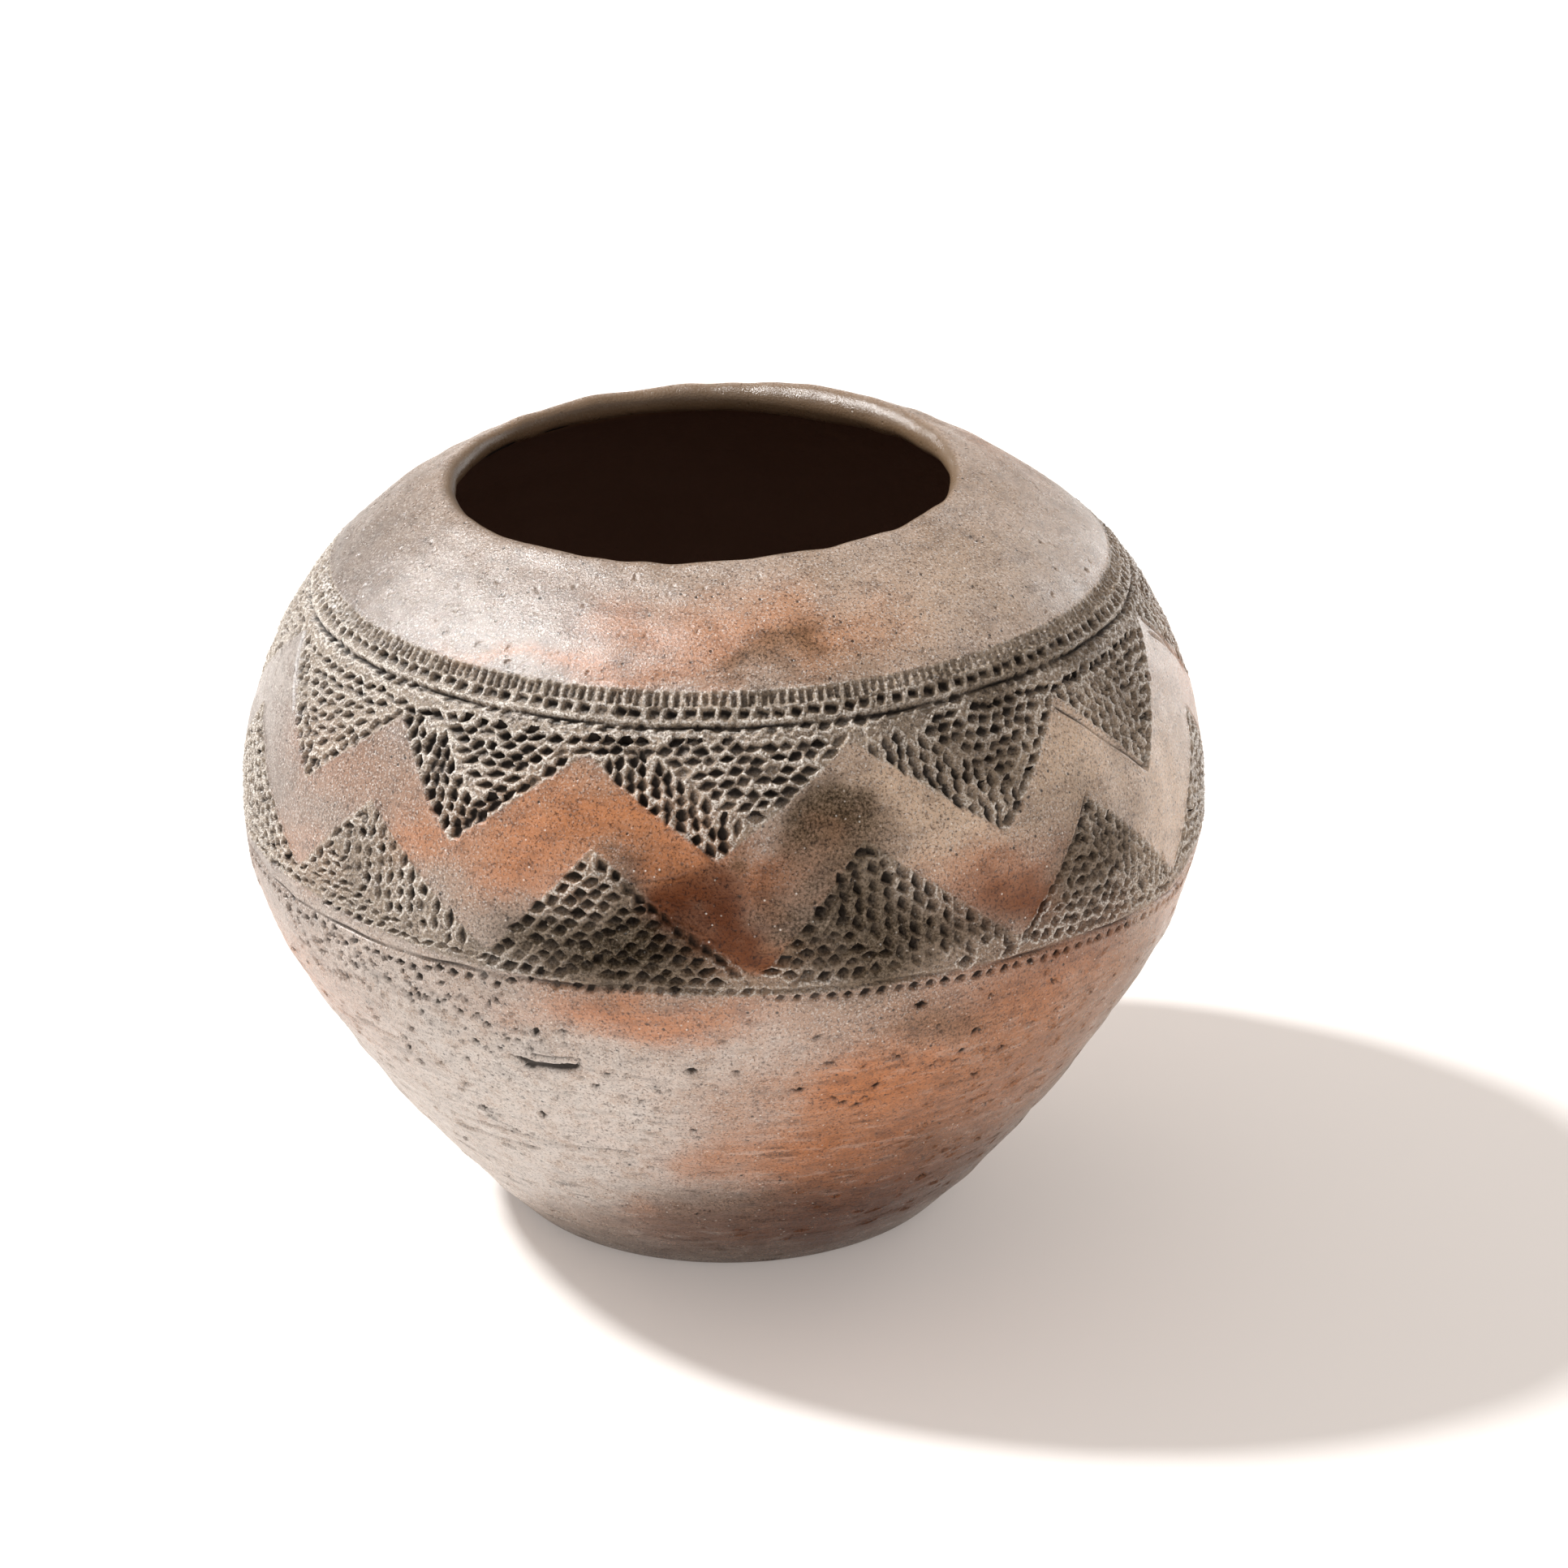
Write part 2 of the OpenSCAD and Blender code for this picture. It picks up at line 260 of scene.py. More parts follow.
# Fills a triangle, and a strip of clay beyond its level edge, with stamps
def stampTriangle(left, right, tip, over, hand):
    triangleList.append((left, right, tip, over))
    a, b, t, radius = flatTriangle(left, right, tip)
    leftRows, leftHeading, rightRows, rightHeading, edgeLong, edgeWide, edgePitch, edgeGap = hand[:8]
    rowLong, rowWide, rowPitch, rowGap, tilt, deep = hand[8:]

    def put(x, y, heading, halfLong, halfWide):
        x, y = x + rng.normal(0, stampCut["stray"]), y + rng.normal(0, stampCut["stray"])
        lon = tip[0] + math.degrees(x / radius)
        roomUp = ornament["wedgeS"] + wander("bandRise", lon) - y
        roomDown = y - ornament["borderS"] - wander("borderRise", lon)
        if roomUp > stampCut["roomUp"] and roomDown > stampCut["roomDown"]:
            pressStamp(lon, y, heading, stampCut["long"] * halfLong, stampCut["wide"] * halfWide,
                       stampCut["deep"] * deep, stampCut["boxy"], stampCut["slant"])

    for rows, heading, corner, other in ((leftRows, leftHeading, a, b), (rightRows, rightHeading, b, a)):
        runX, runY = t[0] - corner[0], t[1] - corner[1]
        size = math.hypot(runX, runY)
        runX, runY = runX / size, runY / size
        toOther = -runY * (other[0] - corner[0]) + runX * (other[1] - corner[1])
        inX, inY = (-runY, runX) if toOther > 0 else (runY, -runX)
        for k in range(rows):
            far, step = edgeGap * (k + 0.5), edgePitch * (0.2 + 0.5 * (k % 2)) - 3
            while step < size:
                x, y = corner[0] + runX * step + inX * far, corner[1] + runY * step + inY * far
                if edgeFar(x, y, a, b, t) > 0.6 and edgeFar(x, y, other, t, corner) > 1.3:
                    put(x, y, heading, edgeLong, edgeWide)
                step += edgePitch
    span = b[0] - a[0]
    high = edgeFar(t[0], t[1], a, b, t)
    up = 1 if t[1] > a[1] else -1
    lean = math.tan(math.radians(tilt))
    level, row = rowGap * 0.45 - over, 0
    while level < high - 1.2:
        x = a[0] + rowPitch * (0.25 + 0.5 * (row % 2))
        while x < b[0]:
            y = a[1] + (b[1] - a[1]) * (x - a[0]) / span + up * level + lean * (x - a[0] - span / 2)
            beyond = edgeFar(x, y, a, b, t)
            clearLeft = edgeFar(x, y, a, t, b) - edgeGap * leftRows
            clearRight = edgeFar(x, y, b, t, a) - edgeGap * rightRows
            inTriangle = beyond > 0 and min(clearLeft, clearRight) > 1.1
            if inTriangle or -over < beyond <= 0:
                put(x, y, tilt + 10, rowLong, rowWide)
            x += rowPitch
        level += rowGap
        row += 1


# Corner moved by whole turns to lie after a tip
def after(tipDeg, corner):
    return corner + 360 * math.ceil((tipDeg - corner) / 360)


# the back's triangles borrow the hands of the front's
for kind, shift, over, borrowed in (
    ("hanging", 0, 5, (0, 11, 1, 2, 10)), ("standing", -1, 5.2, (0, 2, 1, 3, 11)),
):
    tips, tipS, corners, cornerS = [ornament[kind + part] for part in ("Tips", "TipS", "Corners", "CornerS")]
    count = len(tips)
    for i, tip in enumerate(tips):
        left, right = [(corners[k % count], cornerS[k % count]) for k in (i + shift, i + shift + 1)]
        left, right = (after(tip, left[0]) - 360, left[1]), (after(tip, right[0]), right[1])
        hand = hands[kind].get(i, hands[kind][borrowed[i % 5]])
        stampTriangle(left, right, (tip, tipS[i]), over, hand)
print("triangle stamps:", len(stamps))

# Guide lines along the triangles' edges, as far as the hand drew them
for line in (
    [(-10.2, 213.8), (-2.6, 196.2), (-1, 192)], [(-42.6, 222.5), (-39.5, 213)],
    [(19.2, 222), (33.4, 190.6)], [(33.2, 192), (39.2, 209.5)], [(45.6, 222), (59.2, 190.2)],
    [(58.6, 190.6), (64.2, 203)], [(-11, 185), (4.6, 152.2)], [(6.6, 154.5), (16.6, 197.6)],
    [(34.2, 155.5), (46.8, 194.5)], [(76, 226), (86, 198)], [(-76, 228), (-66, 205)],
):
    scratchLine(line, 0.8, 1)
for i in range(3, 10):
    corner, tip = ornament["hangingCorners"][i], ornament["hangingTips"][i]
    scratchLine([(corner, 222), (tip + 0.6, ornament["hangingTipS"][i] - 1.5)], 0.8, 0.7)
    corner, tip = ornament["standingCorners"][i], ornament["standingTips"][i]
    scratchLine([(corner + 1.5, 155), (tip, ornament["standingTipS"][i])], 0.8, 0.7)
for name, rise, halfWide, deep in (("lineS", "bandRise", 0.8, 1.7), ("borderS", "borderRise", 0.85, 0.95)):
    for start in range(0, 360, 60):
        lons = np.linspace(start - 1.5, start + 61.5, 24)
        scratchLine([(lon, ornament[name] + wander(rise, lon)) for lon in lons], halfWide, deep, 0.2)

# Marks in rows: heading, half length, half width, depth, how boxy, slope of the floor, looseness of the hand
squareMark = (-14, 1.8, 1.75, 1.4, 0.9, 0.8, 0.7)
wedgeMark = (8, 2.5, 1.9, 1.25, 0.2, 0.7)
notchMark = (12, 1.9, 1.3, 1.2, 0.15, 0.3)
# Rows above the triangles: narrow ticks, then squares, then small wedges on the line
for k in range(ornament["ticks"]):
    lon = 360 * k / ornament["ticks"] + rng.normal(0, 0.1)
    faint = 0.45 * smooth(lon, 12, 34) * (1 - smooth(lon, 90, 140))   # pressed less on the right
    pressStamp(lon, ornament["tickS"] + wander("bandRise", lon) + rng.normal(0, 0.15),
               90 - 4 * math.sin(math.radians(lon)), 2.2, 0.95, 1.05 * (1 - faint), 0.95, 0.25, 0.5)
for k in range(ornament["squares"]):
    lon = 360 * k / ornament["squares"] + rng.normal(0, 0.15)
    rise = wander("bandRise", lon)
    pressStamp(lon, ornament["squareS"] + rise + rng.normal(0, 0.2), *squareMark)
    pressStamp(lon + 1.1, ornament["wedgeS"] + rise + rng.normal(0, 0.25), *wedgeMark)
# A row of notches along the border, with a rougher hand on the left
for k in range(ornament["notches"]):
    lon = 360 / ornament["notches"] * k + rng.normal(0, 0.15)
    below = 0.3 if abs(turnFrom(lon, -10)) < 15 else 2.5
    shake = rng.normal(0, 1.1) * (abs(turnFrom(lon, -36)) < 26)
    pressStamp(lon, ornament["borderS"] + wander("borderRise", lon) - below + shake, *notchMark)

# Cracks on the lower wall where a coil joint opened, creases, and a scratch
for points, halfWide, deep in (
    ([(-26, 124), (-23.4, 121.2), (-20.3, 121.9), (-17.6, 124.8)], 2, 2.6),
    ([(-24.4, 126.6), (-20, 127), (-17.4, 127.8)], 0.9, 0.9),
    ([(-46, 71.6), (-37, 73.6), (-29, 74.6)], 0.9, 1.2),
    ([(-43, 80), (-33, 81.6), (-24, 80.6), (-11.5, 81.4)], 0.85, 1.1),
    ([(-61, 110), (-52, 112.6), (-41, 115)], 0.9, 0.55), ([(-37.5, 47.6), (-27, 48.4)], 0.9, 0.5),
    ([(2.9, 111.8), (9.7, 116.1)], 0.75, 0.35), ([(-10, 186.2), (-5.5, 187.6), (-3.8, 190.2)], 0.7, 0.3),
    ([(96, 121), (104, 124), (113, 122)], 0.9, 1.3),
    ([(196, 83), (214, 85.5), (231, 83.5)], 0.8, 0.8),
):
    scratchLine(points, halfWide, deep, 0.45)


# Pits: spread of their size, then the least half length, half width and depth, and what size adds to each
pitKinds = {
    "dragged": (0.45, 0.85, 0.6, 0.3, 0.8, 0.2, 0.3),
    "crowded": (0.5, 0.85, 0.65, 0.45, 0.55, 0.3, 0.4),
    "small": (0.3, 0.7, 0.6, 0.25, 0.5, 0.2, 0.2),
}


def pressPit(kind, place):
    spread, *least = pitKinds[kind]
    size = rng.gamma(2, spread)
    pressStamp(*place(), *[least[k] + least[k + 3] * size for k in range(3)], 0)


# long and level on the lower wall, where the scraper dragged them open
for k in range(620):
    pressPit("dragged", lambda: (rng.uniform(0, 360), rng.uniform(18, 148), rng.normal(5, 12)))
# crowded under the border on the left, round the crack, and on the right
for lon0, s0, spreadLon, spreadS, crowd in (
    (-48, 143, 9, 5, 90), (-34, 139, 9, 5, 60), (-22, 122, 7, 5, 26), (-40, 98, 12, 14, 46),
    (30, 124, 13, 13, 80), (40, 92, 9, 16, 40), (-4, 112, 8, 12, 26), (106, 132, 16, 9, 60),
    (190, 120, 22, 16, 80), (262, 140, 14, 8, 60),
):
    for k in range(crowd):
        pressPit("crowded", lambda: (
            rng.normal(lon0, spreadLon), min(rng.normal(s0, spreadS), 150), rng.normal(6, 30)))
for k in range(260):
    pressPit("small", lambda: (
        rng.uniform(0, 360), rng.uniform(245, totalS - 4), rng.uniform(0, 180)))
print("stamps and pits:", len(stamps), "scratched lines:", len(grooves))


def store(mesh, name, kind, values, domain="POINT"):
    field = "vector" if kind == "FLOAT_VECTOR" else "value"
    values = np.asarray(values, bool if kind == "BOOLEAN" else np.float32)
    mesh.attributes.new(name, kind, domain).data.foreach_set(field, values.ravel())


def newObject(name, mesh):
    thing = bpy.data.objects.new(name, mesh)
    bpy.context.scene.collection.objects.link(thing)
    return thing


# Places of the stamps with their axes divided by their half sizes, and of the lines, as two helper meshes
def stampMesh():
    table = np.array(stamps)
    lon, s = table[:, 0], table[:, 1]
    east = surfacePoint(lon + 0.2, s) - surfacePoint(lon - 0.2, s)
    north = surfacePoint(lon, s + 0.4) - surfacePoint(lon, s - 0.4)
    east = east / np.linalg.norm(east, axis=1, keepdims=True)
    north = north / np.linalg.norm(north, axis=1, keepdims=True)
    turn = np.radians(table[:, 2])[:, None]
    mesh = bpy.data.meshes.new("stampPlaces")
    mesh.vertices.add(len(table))
    mesh.vertices.foreach_set("co", (surfacePoint(lon, s) * mm).ravel())
    for name, values in (
        ("longWay", (np.cos(turn) * east + np.sin(turn) * north) / (table[:, 3:4] * mm)),
        ("wideWay", (np.cos(turn) * north - np.sin(turn) * east) / (table[:, 4:5] * mm)),
        ("press", table[:, 5:8] * [mm, 1, 1]),
    ):
        store(mesh, name, "FLOAT_VECTOR", values)
    return newObject("stampPlaces", mesh)


def grooveMesh():
    points, edges, half, deep = [], [], [], []
    for lons, lengths, halfWide, depth in grooves:
        first = len(half)
        points.append(surfacePoint(lons, lengths) * mm)
        edges += [(first + k, first + k + 1) for k in range(len(lons) - 1)]
        half += list(halfWide * mm)
        deep += list(depth * mm)
    mesh = bpy.data.meshes.new("scratchedLines")
    mesh.from_pydata(np.concatenate(points).tolist(), edges, [])
    store(mesh, "grooveHalf", "FLOAT", half)
    store(mesh, "grooveDeep", "FLOAT", deep)
    return newObject("scratchedLines", mesh)


stampPlaces = stampMesh()
scratchedLines = grooveMesh()


# Adds a node with its settings and links, and gives one of its outputs, or all of them; a kind that isn't
# named in full is a shader node
def addNode(tree, kind, inputs=None, give=0, **settings):
    node = tree.nodes.new(kind if "Node" in kind else "ShaderNode" + kind)
    for name, value in settings.items():
        setattr(node, name, value)
    for name, value in (inputs or {}).items():
        if isinstance(value, bpy.types.NodeSocket):
            tree.links.new(value, node.inputs[name])
        else:
            node.inputs[name].default_value = value
    return node.outputs if give == "all" else node.outputs[give]


# Linear colour from a hex value
def hexColour(text):
    parts = [int(text[k:k + 2], 16) / 255 for k in (1, 3, 5)]
    return tuple(p / 12.92 if p <= 0.04045 else ((p + 0.055) / 1.055) ** 2.4 for p in parts) + (1,)


# Fire clouds: degrees round, wall length, half width and half height in millimetres, strength; the ash, pale
# and grey kinds partly carry painted light, as noted at each
fireClouds = {
    "orange": [
        (0, 270, 36, 10, 0.15), (5, 257, 36, 11, 0.3), (-1, 251, 14, 6, 0.2), (16, 263, 16, 9, 0.25),
        (-12, 262, 20, 10, 0.15), (-20, 246, 40, 4, 0.35), (-15, 207, 24, 11, 0.7), (-23, 193, 18, 11, 0.65),
        (-7, 197, 15, 8, 0.8), (-28, 184, 14, 8, 0.2), (5, 188, 15, 10, 0.7), (2.7, 163, 13, 7, 0.9),
        (35, 174, 17, 9, 0.75), (31, 184, 18, 6, 0.35), (-37, 192, 14, 10, 0.45), (-55, 200, 30, 14, 0.15),
        (-57, 170, 20, 8, 0.2), (-11, 145, 30, 7, 0.95), (40, 138, 30, 12, 0.6), (17, 113, 24, 11, 0.9),
        (13, 82, 30, 13, 0.7), (-14, 41, 10, 8, 0.3), (22, 58, 24, 10, 0.7), (32, 95, 60, 46, 0.75),
        (100, 205, 40, 22, 0.7), (150, 110, 60, 26, 0.7), (205, 250, 46, 18, 0.6), (225, 180, 40, 20, 0.7),
        (285, 120, 50, 18, 0.5), (75, 140, 40, 12, 0.4), (130, 262, 34, 12, 0.4),
    ],
    "rust": [
        (0, 176, 8, 9, 1.5), (-4.5, 184, 8, 7, 1.1), (2.5, 167, 6, 7, 0.9), (-7, 188, 9, 6, 1),
        (6, 186, 8, 8, 0.3), (35, 172, 15, 10, 0.85), (40, 104, 30, 24, 0.08), (24, 84, 26, 20, 0.14),
        (26, 36, 50, 28, 0.75), (0, 25, 40, 16, 0.4), (40, 148, 34, 10, 0.3), (102, 200, 18, 10, 0.7),
        (152, 112, 26, 10, 0.5), (226, 176, 18, 9, 0.7),
    ],
    "soot": [
        (4, 247, 8, 3, 0.3), (8, 252, 8, 4, 0.4), (11, 257, 8, 4, 0.45), (13.5, 261, 7, 4, 0.4),
        (15.5, 266, 7, 4, 0.25), (17, 255, 8, 4, 0.25), (9, 246, 18, 3, 0.25), (9.6, 204.5, 7, 8, 1.2),
        (12.5, 197, 8, 5, 0.7), (7, 174, 7, 10, 0.7), (0.5, 194, 5, 4, 0.6), (-9, 173, 19, 14, 1.2),
        (-16, 165, 26, 10, 0.9), (15, 179, 14, 15, 0.8), (19, 165, 28, 10, 0.75), (47, 174, 20, 14, 0.55),
        (33, 213, 22, 11, 0.4), (60, 212, 18, 12, 0.3), (44, 234, 60, 6, 0.45), (0, 233, 50, 5, 0.25),
        (46, 263, 30, 13, 0.08), (66, 256, 28, 16, 0.14), (-46, 175, 22, 14, 0.2), (44, 194, 10, 6, 0.25),
        (25, 135, 20, 7, 0.5), (31, 70, 16, 10, 0.35), (16.5, 38, 7, 5, 0.7), (2, 57, 24, 8, 0.5),
        (-2, 44, 26, 10, 0.4), (-16, 14, 30, 5, 0.3), (34, 34, 40, 20, 0.4), (125, 235, 50, 26, 0.6),
        (175, 175, 60, 30, 0.6), (250, 95, 60, 30, 0.6), (80, 60, 50, 26, 0.5), (215, 262, 30, 10, 0.5),
    ],
    # ash: pale clouds; those low on the left are partly ash and partly a painted reflection of the bright
    # floor
    "ash": [
        (-38, 110, 60, 40, 0.9), (-14, 92, 36, 30, 0.75), (-20, 60, 50, 20, 0.6), (-45, 50, 40, 26, 0.6),
        (2, 135, 18, 10, 0.5), (120, 90, 60, 30, 0.4), (275, 215, 40, 20, 0.4), (180, 60, 70, 26, 0.4),
    ],
    # pale: on the front's right partly the clay's paler tone and partly painted light, on the side the lamps
    # leave dim
    "pale": [
        (24, 204, 20, 12, 0.9), (17, 214, 12, 8, 0.7), (46, 208, 18, 14, 1.3), (34, 262, 50, 16, 0.2),
        (62, 176, 24, 30, 0.6), (28, 190, 14, 8, 0.5), (140, 190, 50, 24, 0.6), (200, 120, 60, 30, 0.5),
    ],
    # grey: the large clouds on the left are partly grey clay and partly painted shade on the side the window
    # lights most
    "grey": [
        (-70, 235, 95, 60, 0.75), (-82, 180, 75, 60, 0.9), (-92, 180, 42, 60, 1.2), (-20, 262, 36, 24, 0.3),
        (160, 225, 60, 30, 0.5), (240, 140, 60, 40, 0.5),
    ],
}


def cloudMasks(points, lonDeg, s):
    radius = np.maximum(np.hypot(points[..., 0], points[..., 1]), 20)
    bendX = 4 * waves(points, 40, 21) + 1 * waves(points, 11, 22)
    bendS = 2.4 * waves(points, 34, 23) + 0.8 * waves(points, 10, 24)
    masks = {}
    for kind, clouds in fireClouds.items():
        total = np.zeros_like(radius)
        for lon0, s0, halfX, halfS, strength in clouds:
            x = np.radians(turnFrom(lonDeg, lon0)) * radius + bendX
            total += strength * np.exp(-(x / halfX) ** 2 - ((s + bendS - s0) / halfS) ** 2)
        masks[kind] = 1 - np.exp(-1.8 * total)
    # darker towards the foot
    masks["soot"] = np.maximum(masks["soot"], 0.4 * (1 - smooth(s + bendS, 2, 26)))
    return masks


# How far a point lies inside the stamped fields, from 0 to 1
def stampedField(lonDeg, s):
    lonDeg, s = np.broadcast_arrays(lonDeg, s)
    inside = np.full(lonDeg.shape, -9)
    for left, right, tip, over in triangleList:
        a, b, t, radius = flatTriangle(left, right, tip)
        x = np.radians(turnFrom(lonDeg, tip[0])) * radius
        level = edgeFar(x, s, a, b, t)
        triangle = np.minimum(np.minimum(edgeFar(x, s, a, t, b), edgeFar(x, s, b, t, a)), level)
        strip = np.minimum(np.minimum(level + over, 1 - level), np.minimum(x - a[0], b[0] - x) + 1)
        inside = np.maximum(inside, np.maximum(triangle, strip))
    up = s - wander("bandRise", lonDeg)
    inside = np.maximum(
        inside, np.minimum(up - ornament["bandFrom"], ornament["tickS"] + ornament["tickReach"] - up))
    return smooth(inside, -0.7, 0.6)


# Rows and columns of a coil, fine where the ornament is; share is how many outer columns meet an inner one
coilGrid = {
    "fineColumns": 1920, "fineRows": 48, "plainColumns": 1200, "plainRows": 30, "share": 8, "innerRows": 8,
    "ornamentLow": 145, "ornamentHigh": 243,
    # for baking, a wall is laid out as this many strips, one above the other
    "bakeStrips": 6,
}


# A ring of clay from its outer and inner section lines, with flat joint faces between them
def ringMesh(name, outer, inner, columns):
    share = coilGrid["share"]
    innerColumns = columns // share
    outerRows, innerRows = len(outer[0]) - 1, len(inner[0]) - 1
    lonOut = np.linspace(0, fullTurn, columns, endpoint=False)[None, :]
    lonIn = lonOut[:, ::share]
    outPoints = placed(*[a[:, None] for a in outer], lonOut)
    inPoints = placed(*[a[:, None] for a in inner], lonIn)
    points = np.concatenate([outPoints.reshape(-1, 3), inPoints.reshape(-1, 3)])
    first = outPoints.shape[0] * columns

    def quads(rows, cols, start):
        k, c = np.meshgrid(np.arange(rows), np.arange(cols), indexing="ij")
        nextC = (c + 1) % cols
        corner = [k * cols + c, k * cols + nextC, (k + 1) * cols + nextC, (k + 1) * cols + c]
        return start + np.stack(corner, -1).reshape(-1, 4)

    outQuads = quads(outerRows, columns, 0)
    inQuads = quads(innerRows, innerColumns, first)
    wallFaces = len(outQuads) + len(inQuads)
    i = np.arange(innerColumns)[:, None]
    nextI = (i + 1) % innerColumns
    edge = (i * share + np.arange(share + 1)[None, :]) % columns
    lastRow = first + innerRows * innerColumns
    topFaces = np.concatenate([outerRows * columns + edge, first + nextI, first + i], 1)
    lowFaces = np.concatenate([lastRow + i, lastRow + nextI, edge[:, ::-1]], 1)
    faces = sum([part.tolist() for part in (outQuads, inQuads, topFaces, lowFaces)], [])
    mesh = bpy.data.meshes.new(name)
    mesh.from_pydata((points * mm).tolist(), [], faces)
    mesh.polygons.foreach_set("use_smooth", np.arange(len(faces)) < wallFaces)
    # the joints' borders are sharp, so the wall stays smooth right up to a joint
    edgeOf = np.empty(len(mesh.loops), np.int32)
    mesh.loops.foreach_get("edge_index", edgeOf)
    isSharp = np.zeros(len(mesh.edges), bool)
    isSharp[edgeOf[4 * wallFaces:]] = True
    mesh.edges.foreach_set("use_edge_sharp", isSharp)

    lonDeg = np.degrees(lonOut)
    sOut = outer[4][:, None]
    inCount = inPoints.shape[0] * innerColumns
    floats = {
        **cloudMasks(outPoints, lonDeg, sOut),
        "stampedField": stampedField(lonDeg, sOut),
        # darker round the lip's inner side: partly smoke, partly painted shade
        "smoked": 0.92 * smooth(sOut, totalS + 0.6, totalS + 3.8) * np.ones_like(lonDeg),
        "lowWall": (1 - smooth(sOut, 118, 158)) * np.ones_like(lonDeg),
    }
    # the inside darkens down from the lip: partly smoke, partly painted shade
    smokeShadeIn = smooth(totalS - inner[4][:, None], -4, 20) * np.ones_like(lonIn)
    for key, values in floats.items():
        inValues = smokeShadeIn.ravel() if key == "smoked" else np.zeros(inCount)
        store(mesh, key, "FLOAT", np.concatenate([values.ravel(), inValues]))
    nr, nz = outer[2][:, None], outer[3][:, None]
    outward = np.stack(np.broadcast_arrays(nr * np.sin(lonOut), -nr * np.cos(lonOut), nz), -1)
    store(mesh, "outward", "FLOAT_VECTOR", np.concatenate([outward.reshape(-1, 3), np.zeros((inCount, 3))]))
    for key, start in (("insideFace", len(outQuads)), ("jointFace", wallFaces)):
        store(mesh, key, "BOOLEAN", np.arange(len(faces)) >= start, "FACE")

    # strips for baking: the outside large, the inside and the joints small
    def strips(rows, cols, low, high):
        k, c = np.meshgrid(np.arange(rows), np.arange(cols), indexing="ij")
        per = cols // coilGrid["bakeStrips"]
        u = np.stack([c % per, c % per + 1, c % per + 1, c % per], -1) / per
        v = (c // per)[..., None] + 0.02 + 0.96 * np.stack([k, k, k + 1, k + 1], -1) / rows
        return np.stack([u, low + (high - low) * v / coilGrid["bakeStrips"]], -1).reshape(-1, 2)

    def jointStrip(low, high, outFirst):
        x = i / innerColumns
        outU = x + np.arange(share + 1)[None, :] / share / innerColumns
        inU = np.concatenate([x + 1 / innerColumns, x], 1)
        outV, inV = np.full_like(outU, high), np.full_like(inU, low)
        if outFirst:
            u, v = np.concatenate([outU, inU], 1), np.concatenate([outV, inV], 1)
        else:
            u, v = np.concatenate([inU[:, ::-1], outU[:, ::-1]], 1), np.concatenate([inV, outV], 1)
        return np.stack([u, v], -1).reshape(-1, 2)

    uv = np.concatenate([
        strips(outerRows, columns, 0, 0.82), strips(innerRows, innerColumns, 0.82, 0.97),
        jointStrip(0.972, 0.983, True), jointStrip(0.986, 0.997, False)])
    uv[:, 0] = 0.002 + 0.996 * uv[:, 0]
    mesh.uv_layers.new(name="OFBake").data.foreach_set("uv", uv.astype(np.float32).ravel())
    return newObject(name, mesh)


# Section lines of a coil, from its lower to its upper joint outside, and back down inside
def coilLines(j, rows):
    outer = wallLine(np.linspace(j * coilS, (j + 1) * coilS, rows + 1))
    inner = wallLine(np.linspace((j + 1) * coilS - lap, j * coilS - lap, coilGrid["innerRows"] + 1), wallT)
    return outer, inner


# Points of a circle as a section line
def arcLine(centre, radius, start, stop, s):
    angle = np.linspace(start, stop, len(s))
    nr, nz = np.cos(angle), np.sin(angle)
    return centre[0] + radius * nr, centre[1] + radius * nz, nr, nz, s


def joinLines(*lines):
    return [np.concatenate([line[k] for line in lines]) for k in range(5)]


# Middle of a rounding between a floor height and the lower wall, and the wall's direction there
def roundingAt(deep, floorZ, radius):
    up = floorZ + radius - lowerC[1]
    centre = lowerC + np.array([math.sqrt((lowerR - deep - radius) ** 2 - up ** 2), up])
    return centre, math.atan2(centre[1] - lowerC[1], centre[0] - lowerC[0])


def footLines(rows):
    edgeR, insideR = potShape["footEdgeR"], potShape["insideEdgeR"]
    centre, angle = roundingAt(0, 0, edgeR)
    ground = np.linspace(pancakeR, centre[0], 6)[:-1]
    flat = (ground, np.zeros(5), np.zeros(5), -np.ones(5), np.zeros(5))
    edgeS = lowerR * (angle - footAngle)
    edge = arcLine(centre, edgeR, -math.pi / 2, angle, np.linspace(0, edgeS, 10))
    wall = wallLine(np.linspace(edgeS, coilS, rows + 1)[1:])
    outer = joinLines(flat, edge, wall)
    centre, angle = roundingAt(wallT, baseT, insideR)
    wallIn = wallLine(np.linspace(coilS - lap, lowerR * (angle - footAngle), 3), wallT)
    edgeIn = arcLine(centre, insideR, angle, -math.pi / 2, np.zeros(7))
    floor = np.linspace(centre[0], pancakeR - lap, 4)[1:]
    floorIn = (floor, np.full(3, baseT), np.zeros(3), -np.ones(3), np.zeros(3))
    return outer, joinLines(wallIn, [a[1:] for a in edgeIn], floorIn)


def rimLines(rows):
    j = len(coilNames) - 1
    outer = wallLine(np.linspace(j * coilS, totalS, rows + 1))
    # the lip's circle runs from the shoulder round the mouth to the inner wall
    far = shoulderR - lipR
    meet = math.acos(((shoulderR - wallT) ** 2 - far ** 2 - lipR ** 2) / (2 * far * lipR))
    sweep = fullTurn - meet
    s = totalS + np.linspace(0, sweep, 26) * lipR
    lip = arcLine(lipC, lipR, lipAngle, lipAngle + sweep, s)
    end = np.array([lip[0][-1], lip[1][-1]]) - shoulderC
    endS = bellyS + shoulderR * math.atan2(end[1], end[0])
    inner = wallLine(np.linspace(endS, j * coilS - lap, coilGrid["innerRows"] + 1), wallT)
    return joinLines(outer, [a[1:] for a in lip]), inner


# Presses stamps and scratched lines into a ring's outside
pressSizes = {"Burr share": 0.18, "Rough height": 0.0009, "Rough grain": 0.0012}


